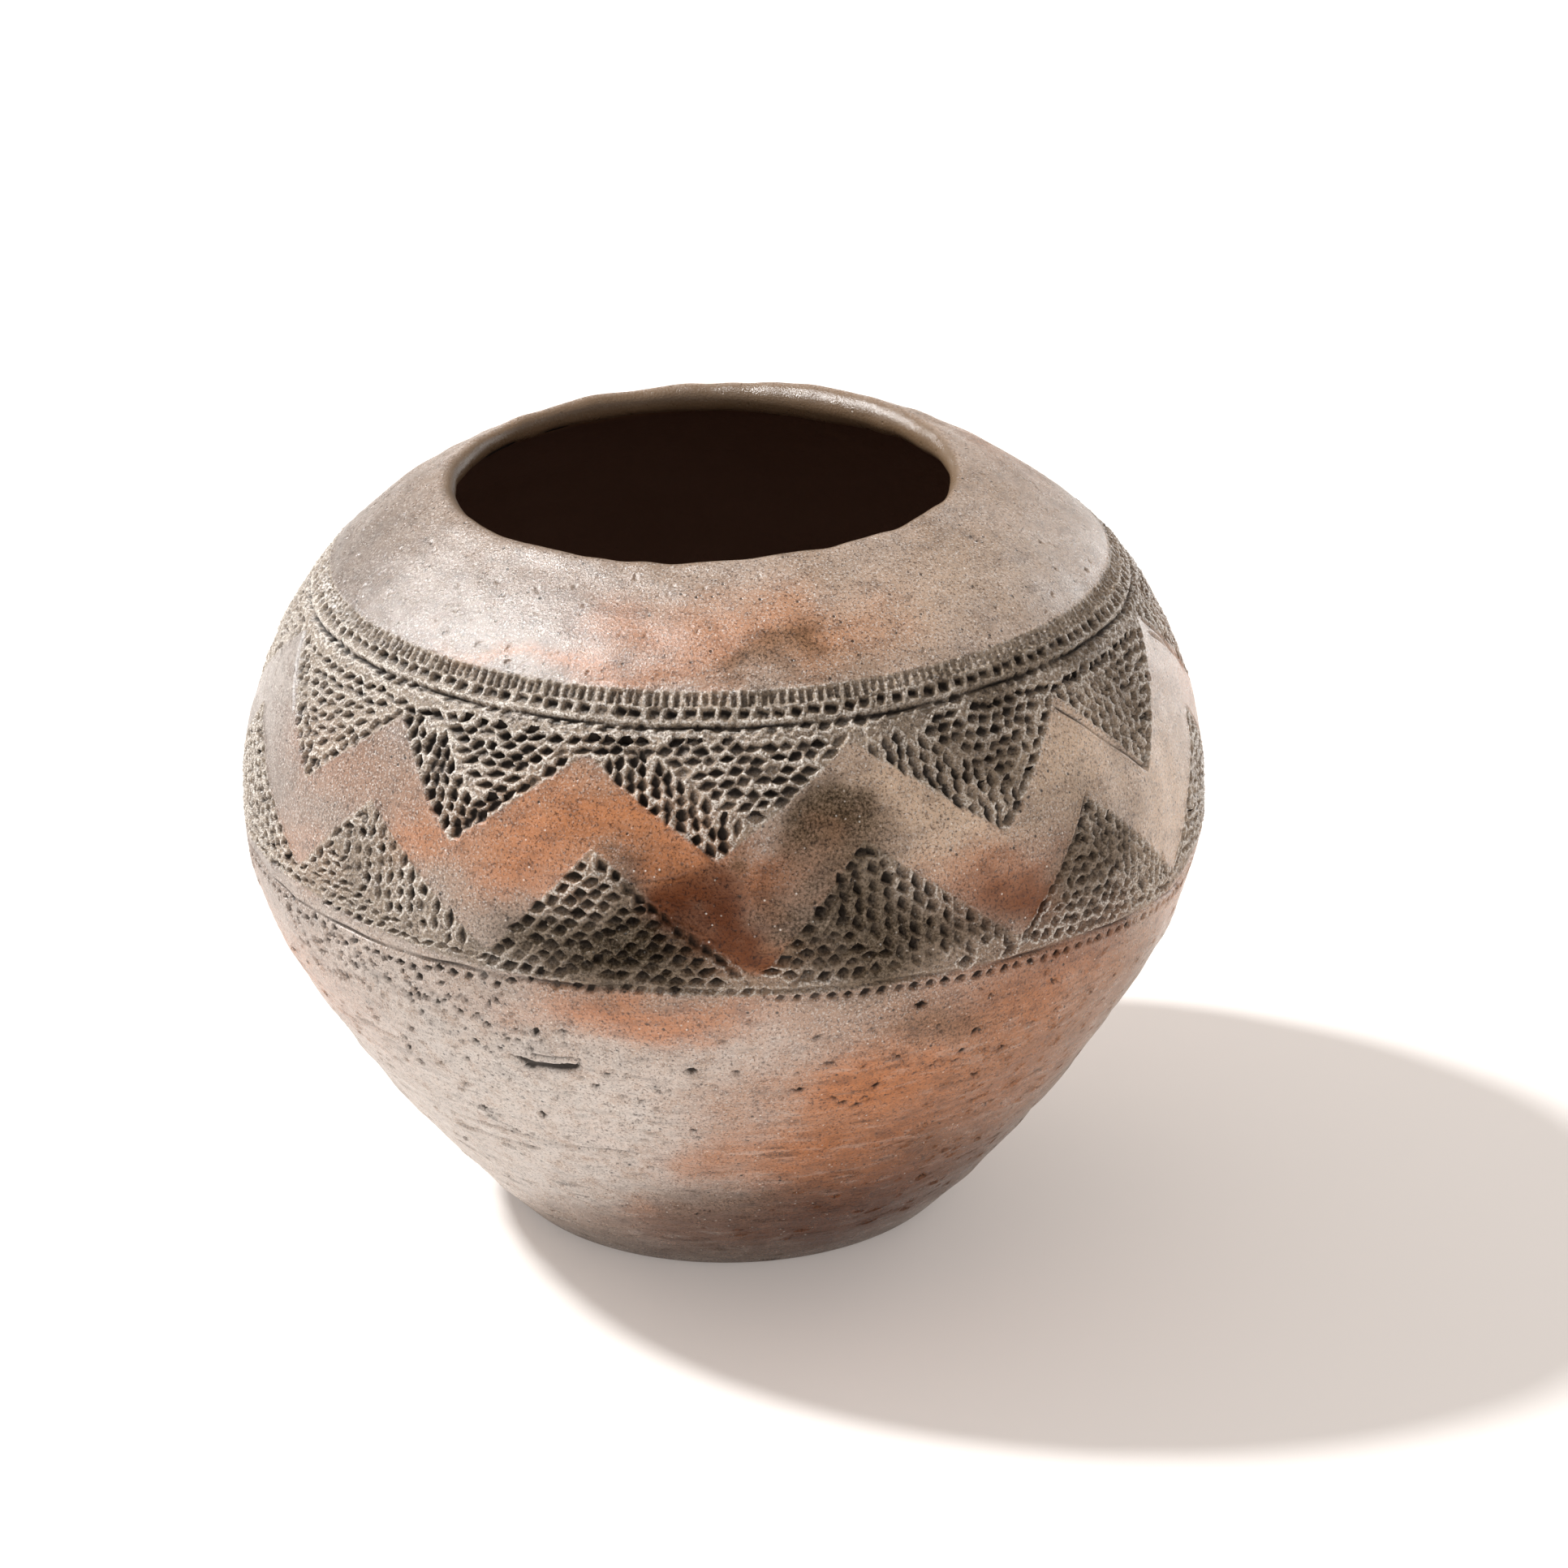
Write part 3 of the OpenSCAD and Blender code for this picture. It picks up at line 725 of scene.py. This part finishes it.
def pressTree():
    tree = bpy.data.node_groups.new("pressedClay", "GeometryNodeTree")
    for kind, names in (
        ("Geometry", ("Geometry",)), ("Object", ("Stamps", "Lines")), ("Float", tuple(pressSizes)),
        ("Material", ("Outside", "Inside", "Joint")),
    ):
        for name in names:
            tree.interface.new_socket(name=name, in_out="INPUT", socket_type="NodeSocket" + kind)
    tree.interface.new_socket(name="Geometry", in_out="OUTPUT", socket_type="NodeSocketGeometry")
    given = addNode(tree, "NodeGroupInput", give="all")
    here = addNode(tree, "GeometryNodeInputPosition")
    kinds = {
        "longWay": "FLOAT_VECTOR", "wideWay": "FLOAT_VECTOR", "press": "FLOAT_VECTOR", "grooveHalf": "FLOAT",
        "grooveDeep": "FLOAT", "outward": "FLOAT_VECTOR", "stampedField": "FLOAT", "insideFace": "BOOLEAN",
        "jointFace": "BOOLEAN"}
    have = {
        name: addNode(tree, "GeometryNodeInputNamedAttribute", {"Name": name}, data_type=kind)
        for name, kind in kinds.items()}
    # what the nearest stamp and the nearest point of a line hold
    near = {"place": here}
    for source, names in (
        ("Stamps", ("place", "longWay", "wideWay", "press")), ("Lines", ("grooveHalf", "grooveDeep")),
    ):
        geometry = addNode(tree, "GeometryNodeObjectInfo", {"Object": given[source]}, "Geometry")
        index = addNode(tree, "GeometryNodeSampleNearest", {"Geometry": geometry, "Sample Position": here})
        for name in names:
            near[name] = addNode(
                tree, "GeometryNodeSampleIndex",
                {"Geometry": geometry, "Value": have.get(name, here), "Index": index},
                data_type=kinds.get(name, "FLOAT_VECTOR"))
    near["far"] = addNode(tree, "GeometryNodeProximity", {0: geometry}, "Distance", target_element="EDGES")
    away = addNode(tree, "VectorMath", {0: here, 1: near["place"]}, operation="SUBTRACT")
    for name, way in (("along", "longWay"), ("across", "wideWay")):
        near[name] = addNode(
            tree, "VectorMath", {0: away, 1: near[way]}, "Value", operation="DOT_PRODUCT")
    press = addNode(tree, "SeparateXYZ", {0: near["press"]}, "all")
    near.update(deep=press[0], boxy=press[1], slope=press[2], field=have["stampedField"])
    near.update({name: given[name] for name in pressSizes})
    # sums in their order; a ramp runs smoothly from its first to its second number
    for name, operation, *parts in (
        ("x", "ABSOLUTE", "along"), ("y", "ABSOLUTE", "across"),
        ("diamond", "ADD", "x", "y"), ("box", "MAXIMUM", "x", "y"), ("less", "SUBTRACT", "box", "diamond"),
        ("less", "MULTIPLY", "less", "boxy"), ("spread", "ADD", "diamond", "less"),
        ("slant", "MULTIPLY", "slope", "across"), ("slant", "ADD", "slant", 1),
        ("dent", "RAMP", "spread", 1.07, 0.66), ("dent", "MULTIPLY", "dent", "deep", "slant"),
        ("rimOut", "RAMP", "spread", 2, 1.3), ("rimIn", "RAMP", "spread", 0.95, 1.22),
        ("burr", "MULTIPLY", "rimOut", "rimIn", "deep"),
        ("ratio", "DIVIDE", "far", "grooveHalf"), ("groove", "RAMP", "ratio", 1.15, 0.1),
        ("groove", "MULTIPLY", "groove", "grooveDeep"),
        ("ridgeOut", "RAMP", "ratio", 2.4, 1.6), ("ridgeIn", "RAMP", "ratio", 1, 1.5),
        ("ridge", "MULTIPLY", "ridgeOut", "ridgeIn", "grooveDeep"),
        ("cut", "MAXIMUM", "dent", "groove"), ("raised", "MAXIMUM", "burr", "ridge"),
        ("raised", "MULTIPLY", "raised", "Burr share"), ("grainScale", "DIVIDE", 1, "Rough grain"),
        ("cutMm", "MULTIPLY", "cut", 1000), ("raisedMm", "MULTIPLY", "raised", 1000),
        ("lift", "SUBTRACT", "raised", "cut"), ("roughSpan", "MULTIPLY", "Rough height", "field", 2),
    ):
        value, *parts = [near[part] if isinstance(part, str) else part for part in parts]
        if operation == "RAMP":
            value = addNode(tree, "MapRange", {
                "Value": value, "From Min": parts[0], "From Max": parts[1]}, interpolation_type="SMOOTHSTEP")
        else:
            for part in parts or [0]:
                value = addNode(tree, "Math", {0: value, 1: part}, operation=operation)
        near[name] = value
    grain = addNode(tree, "TexNoise", {"Vector": here, "Scale": near["grainScale"], "Detail": 2})
    rough = addNode(tree, "Math", {0: grain, 1: 0.5}, operation="SUBTRACT")
    lift = addNode(
        tree, "Math", {0: rough, 1: near["roughSpan"], 2: near["lift"]}, operation="MULTIPLY_ADD")
    offset = addNode(tree, "VectorMath", {0: have["outward"], "Scale": lift}, operation="SCALE")
    clay = given["Geometry"]
    for name, value in (("pressed", near["cutMm"]), ("raised", near["raisedMm"])):
        clay = addNode(tree, "GeometryNodeStoreNamedAttribute", {
            "Geometry": clay, "Name": name, "Value": value}, data_type="FLOAT", domain="POINT")
    clay = addNode(tree, "GeometryNodeSetPosition", {"Geometry": clay, "Offset": offset})
    clay = addNode(tree, "GeometryNodeRealizeInstances", {"Geometry": clay})
    clay = addNode(tree, "GeometryNodeSetMaterial", {"Geometry": clay, "Material": given["Outside"]})
    for faces, name in (("insideFace", "Inside"), ("jointFace", "Joint")):
        clay = addNode(tree, "GeometryNodeSetMaterial", {
            "Geometry": clay, "Selection": have[faces], "Material": given[name]})
    addNode(tree, "NodeGroupOutput", {0: clay}, "all")
    return tree


def newMaterial(name):
    material = bpy.data.materials.new(name)
    material.use_nodes = True
    return material, material.node_tree, material.node_tree.nodes["Principled BSDF"]


# Burnished earthenware: rubbed with a pebble while leather-hard, so a gritty brown body carries a soft pale
# sheen;
# the open fire leaves orange, ash-pale and smoke-dark clouds in it. Painted light: the ridge colour is a
# painted highlight, the pit colour painted shade, the smoke colour smoke with painted shade, the ash colour
# ash with a painted reflection
burnished = {
    "tan": "#B29D8D", "brown": "#9E8570", "grey": "#70635A", "orange": "#C0753C", "rust": "#602B00",
    "soot": "#40331B", "ash": "#D4CDC7", "pale": "#E0C2A6", "field": "#9D8C75", "ridge": "#EAE3DA",
    "pitShade": "#1E140C", "pore": "#5E4735", "grit": "#F6F1EA", "lipSmokeShade": "#6C553D", "ior": 1.5,
    "roughness": 0.265, "mottleRoughness": 0.25, "fieldRoughness": 0.28, "pitRoughness": 0.9,
    "shine": 1, "orangeShine": 0.6, "burntShine": 0.2, "shallow": -0.34, "bump": 0.5, "bumpMm": 0.42,
    "cloudMm": 38, "mottleMm": 6, "grainMm": 0.8, "fleckMm": 0.6, "strokeMm": 2.2, "dragMm": 2.6,
    "dragPatchMm": 16, "gritMm": 2.4, "gritPatchMm": 7, "holeMm": 3.6, "holePatchMm": 12,
}


def burnishedEarthenware():
    material, tree, shader = newMaterial("burnishedEarthenware")
    place = addNode(tree, "TexCoord", give="Object")
    level = addNode(tree, "Mapping", {"Vector": place, "Scale": (0.2, 0.2, 1)})
    have = {}
    for name in [*fireClouds, "stampedField", "smoked", "lowWall", "pressed", "raised"]:
        have[name] = addNode(tree, "Attribute", give="Fac", attribute_name=name)
    # patterns: detail, roughness, and what they run along; the grit is drawn coarser than it is, to show
    for name, detail, rough, vector in (
        ("cloud", 3, 0.55, place), ("mottle", 4, 0.6, place), ("grain", 5, 0.7, place),
        ("fleck", 2, 0.5, place), ("stroke", 2, 0.5, level), ("drag", 3, 0.6, level),
        ("dragPatch", 3, 0.55, place), ("gritPatch", 3, 0.55, place), ("holePatch", 3, 0.55, place),
    ):
        have[name] = addNode(tree, "TexNoise", {
            "Vector": vector, "Scale": 1000 / burnished[name + "Mm"], "Detail": detail, "Roughness": rough})
    for name in ("grit", "hole"):
        have[name] = addNode(tree, "TexVoronoi", {
            "Vector": place, "Scale": 1000 / burnished[name + "Mm"]}, "Distance")
    # painted shade: a stamp darkens from its shallow to its deep side, a small pit at once
    shallow = addNode(tree, "Math", {
        0: have["stampedField"], 1: burnished["shallow"], 2: 1}, operation="MULTIPLY_ADD")
    have["pitDepth"] = addNode(tree, "Math", {0: have["pressed"], 1: shallow}, operation="MULTIPLY")
    # masks: what they read, where they begin and end, and their strength
    for name, source, low, high, top in (
        ("browner", "cloud", 0.32, 0.7, 1), ("ashSheenBreak", "mottle", 0.2, 0.65, 1),
        ("fireBreak", "mottle", -0.3, 0.5, 1), ("sootBreak", "grain", 0.18, 0.58, 1),
        ("fieldTint", "stampedField", 0, 1, 0.6), ("poreMask", "grain", 0.49, 0.65, 0.85),
        # the pale streaks are a painted sheen along the level strokes of the lower wall
        ("streak", "stroke", 0.5, 0.72, 0.26), ("sheenStreak", "stroke", 0.46, 0.3, 0.22),
        # the pale tops are painted glints on the raised tops of the fleck
        ("blotch", "mottle", 0.5, 0.75, 0.35), ("grainGlint", "fleck", 0.53, 0.67, 0.6),
        ("dragMask", "drag", 0.54, 0.66, 0.6), ("dragHere", "dragPatch", 0.42, 0.62, 1),
        ("dragBreak", "fleck", 0.35, 0.55, 1), ("gritMask", "grit", 0.17, 0.08, 0.6),
        ("gritHere", "gritPatch", 0.48, 0.6, 1), ("holeMask", "hole", 0.17, 0.09, 0.85),
        # the ridge mask lays pale paint on the raised crests round the stamps, a painted highlight
        ("holeHere", "holePatch", 0.46, 0.58, 1), ("ridgeGlintMask", "raised", 0.06, 0.24, 0.85),
        ("clean", "soot", 0.65, 0.1, 1), ("unburnt", "rust", 0.7, 0.05, 1), ("cool", "orange", 1.1, 0.1, 1),
        # the pit mask paints shade into the dents, darkest where they are deepest
        ("pitShadeMask", "pitDepth", 0.3, 1.2, 0.95), ("glintBreak", "fleck", 0.36, 0.6, 1),
    ):
        have[name] = addNode(tree, "MapRange", {
            "Value": have[source], "From Min": low, "From Max": high, "To Max": top},
            interpolation_type="SMOOTHSTEP")
    # masks that hold only where others do
    for name, *factors in (
        ("ashSheenMask", "ash", "ashSheenBreak"), ("orangeMask", "orange", "fireBreak"),
        ("rustMask", "rust", "fireBreak"), ("sootMask", "soot", "sootBreak"),
        ("dragMask", "dragMask", "dragHere", "lowWall", "dragBreak"), ("gritMask", "gritMask", "gritHere"),
        ("holeMask", "holeMask", "holeHere"), ("grainGlint", "grainGlint", "clean", "unburnt", "cool"),
        ("sheenStreak", "sheenStreak", "clean", "lowWall"), ("roughField", "grain", "stampedField"),
        ("ridgeGlintMask", "ridgeGlintMask", "clean", "glintBreak", "stampedField"),
    ):
        have[name] = have[factors[0]]
        for factor in factors[1:]:
            have[name] = addNode(tree, "Math", {0: have[name], 1: have[factor]}, operation="MULTIPLY")
    # fire clouds on the bare clay, the stamped fields, then pores, which darken, painted sheen streaks,
    # painted glints on the grain, grit, painted shade in drag marks, holes and dents, painted highlights on
    # the ridges, and smoke with painted shade inside the lip
    colour = hexColour(burnished["tan"])
    for mask, name in (
        ("browner", "brown"), ("grey", "grey"), ("ashSheenMask", "ash"), ("pale", "pale"),
        ("orangeMask", "orange"), ("fieldTint", "field"), ("sootMask", "soot"), ("rustMask", "rust"),
        ("streak", "pore"), ("sheenStreak", "ash"), ("blotch", "pore"), ("poreMask", "pore"),
        # drag marks and holes take the pit colour, a painted shade
        ("grainGlint", "ash"), ("dragMask", "pitShade"), ("gritMask", "grit"), ("holeMask", "pitShade"),
        ("ridgeGlintMask", "ridge"), ("pitShadeMask", "pitShade"), ("smoked", "lipSmokeShade"),
    ):
        colour = addNode(
            tree, "Mix", {"Factor": have[mask], 6: colour, 7: hexColour(burnished[name])}, 2,
            data_type="RGBA", blend_type="MULTIPLY" if name == "pore" else "MIX")
    dull = addNode(tree, "Math", {
        0: have["mottle"], 1: burnished["mottleRoughness"], 2: burnished["roughness"] - 0.1},
        operation="MULTIPLY_ADD")
    for mask, name in (
        ("stampedField", "fieldRoughness"), ("dragMask", "pitRoughness"), ("pitShadeMask", "pitRoughness"),
    ):
        dull = addNode(tree, "Mix", {"Factor": have[mask], 2: dull, 3: burnished[name]})
    # the burnt patches have lost some of their burnish
    shine = burnished["shine"]
    for mask, name in (
        ("orangeMask", "orangeShine"), ("rustMask", "burntShine"), ("sootMask", "burntShine"),
    ):
        shine = addNode(tree, "Mix", {"Factor": have[mask], 2: shine, 3: burnished[name]})
    # grain, level burnishing strokes and holes
    height = have["grain"]
    for name, part in (("stroke", 0.7), ("fleck", 0.5), ("holeMask", -1.2), ("roughField", 2.5)):
        height = addNode(tree, "Math", {0: have[name], 1: part, 2: height}, operation="MULTIPLY_ADD")
    bump = addNode(tree, "Bump", {
        "Strength": burnished["bump"], "Distance": burnished["bumpMm"] * mm, "Height": height})
    shader.inputs["IOR"].default_value = burnished["ior"]
    for value, name in (
        (colour, "Base Color"), (dull, "Roughness"), (shine, "Specular IOR Level"), (bump, "Normal"),
    ):
        tree.links.new(value, shader.inputs[name])
    return material


# Smoked earthenware: the unburnished inside, dull, brown under the lip and darker below it, partly soot and
# partly painted shade where little light reaches
insideSmokeShade = {
    "brown": "#A58763", "soot": "#75594A", "cloudMm": 30, "grainMm": 1.6, "roughness": 0.8, "bump": 0.5,
    "bumpMm": 0.6,
}


def smokedEarthenware():
    material, tree, shader = newMaterial("smokedEarthenware")
    place = addNode(tree, "TexCoord", give="Object")
    smoked = addNode(tree, "Attribute", give="Fac", attribute_name="smoked")
    cloud, grain = [addNode(tree, "TexNoise", {
        "Vector": place, "Scale": 1000 / insideSmokeShade[name], "Detail": 4})
        for name in ("cloudMm", "grainMm")]
    shade = addNode(tree, "Math", {0: smoked, 1: cloud}, operation="ADD")
    shade = addNode(tree, "MapRange", {"Value": shade, "From Min": 0.45, "From Max": 1.35})
    colour = addNode(tree, "Mix", {
        "Factor": shade, 6: hexColour(insideSmokeShade["brown"]), 7: hexColour(insideSmokeShade["soot"])}, 2,
        data_type="RGBA")
    bump = addNode(tree, "Bump", {
        "Strength": insideSmokeShade["bump"], "Distance": insideSmokeShade["bumpMm"] * mm, "Height": grain})
    shader.inputs["Roughness"].default_value = insideSmokeShade["roughness"]
    tree.links.new(colour, shader.inputs["Base Color"])
    tree.links.new(bump, shader.inputs["Normal"])
    return material


# Clay in a joint, seen only at the bottom of a deep stamp: dark with the pit colour, a painted shade
def jointEarthenware():
    material, _, shader = newMaterial("jointEarthenware")
    shader.inputs["Base Color"].default_value = hexColour(burnished["pitShade"])
    shader.inputs["Roughness"].default_value = burnished["pitRoughness"]
    return material


outsideClay = burnishedEarthenware()
insideClay = smokedEarthenware()
jointClay = jointEarthenware()
press = pressTree()
inputNames = {item.name: item.identifier for item in press.interface.items_tree if item.in_out == "INPUT"}


# Runs the pressing on a ring, keeps the plain mesh, and hands the piece to the frame
def finishRing(ring, node):
    modifier = ring.modifiers.new("pressedClay", "NODES")
    modifier.node_group = press
    settings = {"Stamps": stampPlaces, "Lines": scratchedLines, "Outside": outsideClay, "Inside": insideClay,
                "Joint": jointClay}
    for name, value in {**pressSizes, **settings}.items():
        modifier[inputNames[name]] = value
    bpy.context.view_layer.update()
    graph = bpy.context.evaluated_depsgraph_get()
    plain = bpy.data.meshes.new_from_object(
        ring.evaluated_get(graph), preserve_all_data_layers=True, depsgraph=graph)
    ring.modifiers.remove(modifier)
    old = ring.data
    ring.data = plain
    bpy.data.meshes.remove(old)
    plain.name = ring.name
    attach(ring, "root")
    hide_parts(node)


for j, node in enumerate(coilNames):
    isFine = (j + 1) * coilS > coilGrid["ornamentLow"] and j * coilS < coilGrid["ornamentHigh"]
    grid = "fine" if isFine else "plain"
    if node == "foot_coil":
        lines = footLines(coilGrid["plainRows"])
    elif node == "rim_coil":
        lines = rimLines(coilGrid["plainRows"])
    else:
        lines = coilLines(j, coilGrid[grid + "Rows"])
    ring = ringMesh(node + "_clay", *lines, coilGrid[grid + "Columns"])
    finishRing(ring, node)
    print(node, len(ring.data.polygons), "faces")


# The pancake under the floor: two discs and a sloped edge
def pancake():
    columns, discRings = 150, 6
    top = pancakeR - lap
    lon = np.linspace(0, fullTurn, columns, endpoint=False)
    rings = [(r, 0) for r in np.linspace(pancakeR / discRings, pancakeR, discRings)]
    rings += [(r, baseT) for r in np.linspace(top, top / discRings, discRings)]
    points = [np.stack([r * np.sin(lon), -r * np.cos(lon), np.full(columns, z)], 1) for r, z in rings]
    points = np.concatenate(points + [np.array([[0, 0, 0], [0, 0, baseT]])])
    under, over = len(points) - 2, len(points) - 1
    last = (len(rings) - 1) * columns
    turns = [(c, (c + 1) % columns) for c in range(columns)]
    faces = [
        (k + c, k + n, k + columns + n, k + columns + c) for k in range(0, last, columns) for c, n in turns]
    faces += [(n, c, under) for c, n in turns] + [(last + c, last + n, over) for c, n in turns]
    mesh = bpy.data.meshes.new("base_disc_clay")
    mesh.from_pydata((points * mm).tolist(), [], faces)
    mesh.materials.append(insideClay)
    # the floor inside takes the full smoke and painted shade
    store(mesh, "smoked", "FLOAT", np.ones(len(points)))
    return newObject("base_disc_clay", mesh)


baseDisc = pancake()
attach(baseDisc, "root")
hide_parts("base_disc")
for helper in (stampPlaces, scratchedLines):
    bpy.data.objects.remove(helper)


# Camera at the photograph's view: the axis, its place in the frame and the picture scale
cameraView = {
    "elevation": 22.79, "roll": -0.784, "distance": 1400, "aimZ": 115,
    "pixelsPerMm": 3.914, "axisPixel": (894.84, 1026.58), "framePixels": 1932, "sensor": 36,
}


# Two directions turned towards each other by an angle
def turned(a, b, angle):
    return a * math.cos(angle) + b * math.sin(angle), b * math.cos(angle) - a * math.sin(angle)


def placeCamera():
    tip = math.radians(cameraView["elevation"])
    back = Vector((0, -math.cos(tip), math.sin(tip)))
    spot = Vector((0, 0, cameraView["aimZ"])) + back * cameraView["distance"]
    focal = cameraView["pixelsPerMm"] * cameraView["distance"]
    middle = cameraView["framePixels"] / 2
    pan, tilt = [math.atan2(pixel - middle, focal) for pixel in cameraView["axisPixel"]]
    ahead, right = -back, Vector((1, 0, 0))
    up = right.cross(ahead)
    right, ahead = turned(right, ahead, pan)
    ahead, up = turned(ahead, up, tilt)
    right, up = turned(right, up, math.radians(cameraView["roll"]))
    data = bpy.data.cameras.new("camera")
    data.sensor_width = cameraView["sensor"]
    data.lens = focal / cameraView["framePixels"] * cameraView["sensor"]
    data.clip_start, data.clip_end = 0.05, 50
    camera = newObject("camera", data)
    camera.matrix_world = Matrix.Translation(spot * mm) @ Matrix((right, up, -ahead)).transposed().to_4x4()
    bpy.context.scene.camera = camera


placeCamera()


# Pale floor that shows near white, a window on the left, a pale wall on the right and behind, a dimmer front
studio = {
    "floor": "#F0ECE8", "floorGlow": "#FFF4EE", "glowShare": 0.24, "floorRoughness": 0.9, "floorHalf": 6,
    "surround": "#E6E0DB", "frontDim": 0.68, "backBright": 1.15, "glossDim": 0.7, "aimHeight": 0.12,
    "windowWay": (-0.62, 0.185, 0.762), "windowFar": 6, "windowSize": 0.55, "windowPower": 490,
    "wallWay": (0.66, 0.74, 0.08), "wallFar": 1.6, "wallSize": 0.9, "wallPower": 8,
}


# Paper whose pale colour shows to the camera and in reflections, and that keeps the shadow
def floorPaper():
    material, tree, shader = newMaterial("palePaper")
    shader.inputs["Base Color"].default_value = hexColour(studio["floor"])
    shader.inputs["Roughness"].default_value = studio["floorRoughness"]
    glow = addNode(tree, "Emission", {"Color": hexColour(studio["floorGlow"]), "Strength": 1})
    rays = addNode(tree, "LightPath", give="all")
    seen = rays["Is Camera Ray"]
    for name in ("Is Glossy Ray", "Is Transmission Ray"):
        seen = addNode(tree, "Math", {0: seen, 1: rays[name]}, operation="MAXIMUM")
    share = addNode(tree, "Math", {0: seen, 1: studio["glowShare"]}, operation="MULTIPLY")
    mixed = addNode(tree, "MixShader", {0: share, 1: shader.outputs[0], 2: glow})
    tree.links.new(mixed, tree.nodes["Material Output"].inputs["Surface"])
    return material


def areaLight(name, way, far, size, power):
    data = bpy.data.lights.new(name, "AREA")
    data.shape = "DISK"
    data.size = size
    data.energy = power
    lamp = newObject(name, data)
    way = Vector(way).normalized()
    lamp.location = Vector((0, 0, studio["aimHeight"])) + way * far
    lamp.rotation_mode = "QUATERNION"
    lamp.rotation_quaternion = way.to_track_quat("Z", "Y")


def buildStudio():
    half = studio["floorHalf"]
    mesh = bpy.data.meshes.new("floor")
    mesh.from_pydata(
        [(-half, -half, 0), (half, -half, 0), (half, half, 0), (-half, half, 0)], [], [(0, 1, 2, 3)])
    mesh.materials.append(floorPaper())
    floor = newObject("floor", mesh)
    for name in ("window", "wall"):
        areaLight(name + "Light", *[studio[name + part] for part in ("Way", "Far", "Size", "Power")])
    world = bpy.data.worlds.new("paleRoom")
    world.use_nodes = True
    tree = world.node_tree
    way = addNode(tree, "TexCoord", give="Generated")
    back = addNode(tree, "SeparateXYZ", {0: way}, "Y")
    strength = addNode(tree, "MapRange", {
        "Value": back, "From Min": -1, "From Max": 1, "To Min": studio["frontDim"],
        "To Max": studio["backBright"]})
    # the room mirrors dimmer than it lights, so the window is what shines in the clay
    gloss = addNode(tree, "LightPath", give="Is Glossy Ray")
    dim = addNode(tree, "Math", {0: gloss, 1: -studio["glossDim"], 2: 1}, operation="MULTIPLY_ADD")
    strength = addNode(tree, "Math", {0: strength, 1: dim}, operation="MULTIPLY")
    background = tree.nodes["Background"]
    background.inputs["Color"].default_value = hexColour(studio["surround"])
    tree.links.new(strength, background.inputs["Strength"])
    bpy.context.scene.world = world
    bpy.context.scene.view_settings.view_transform = "Standard"


buildStudio()
print("studio ready")
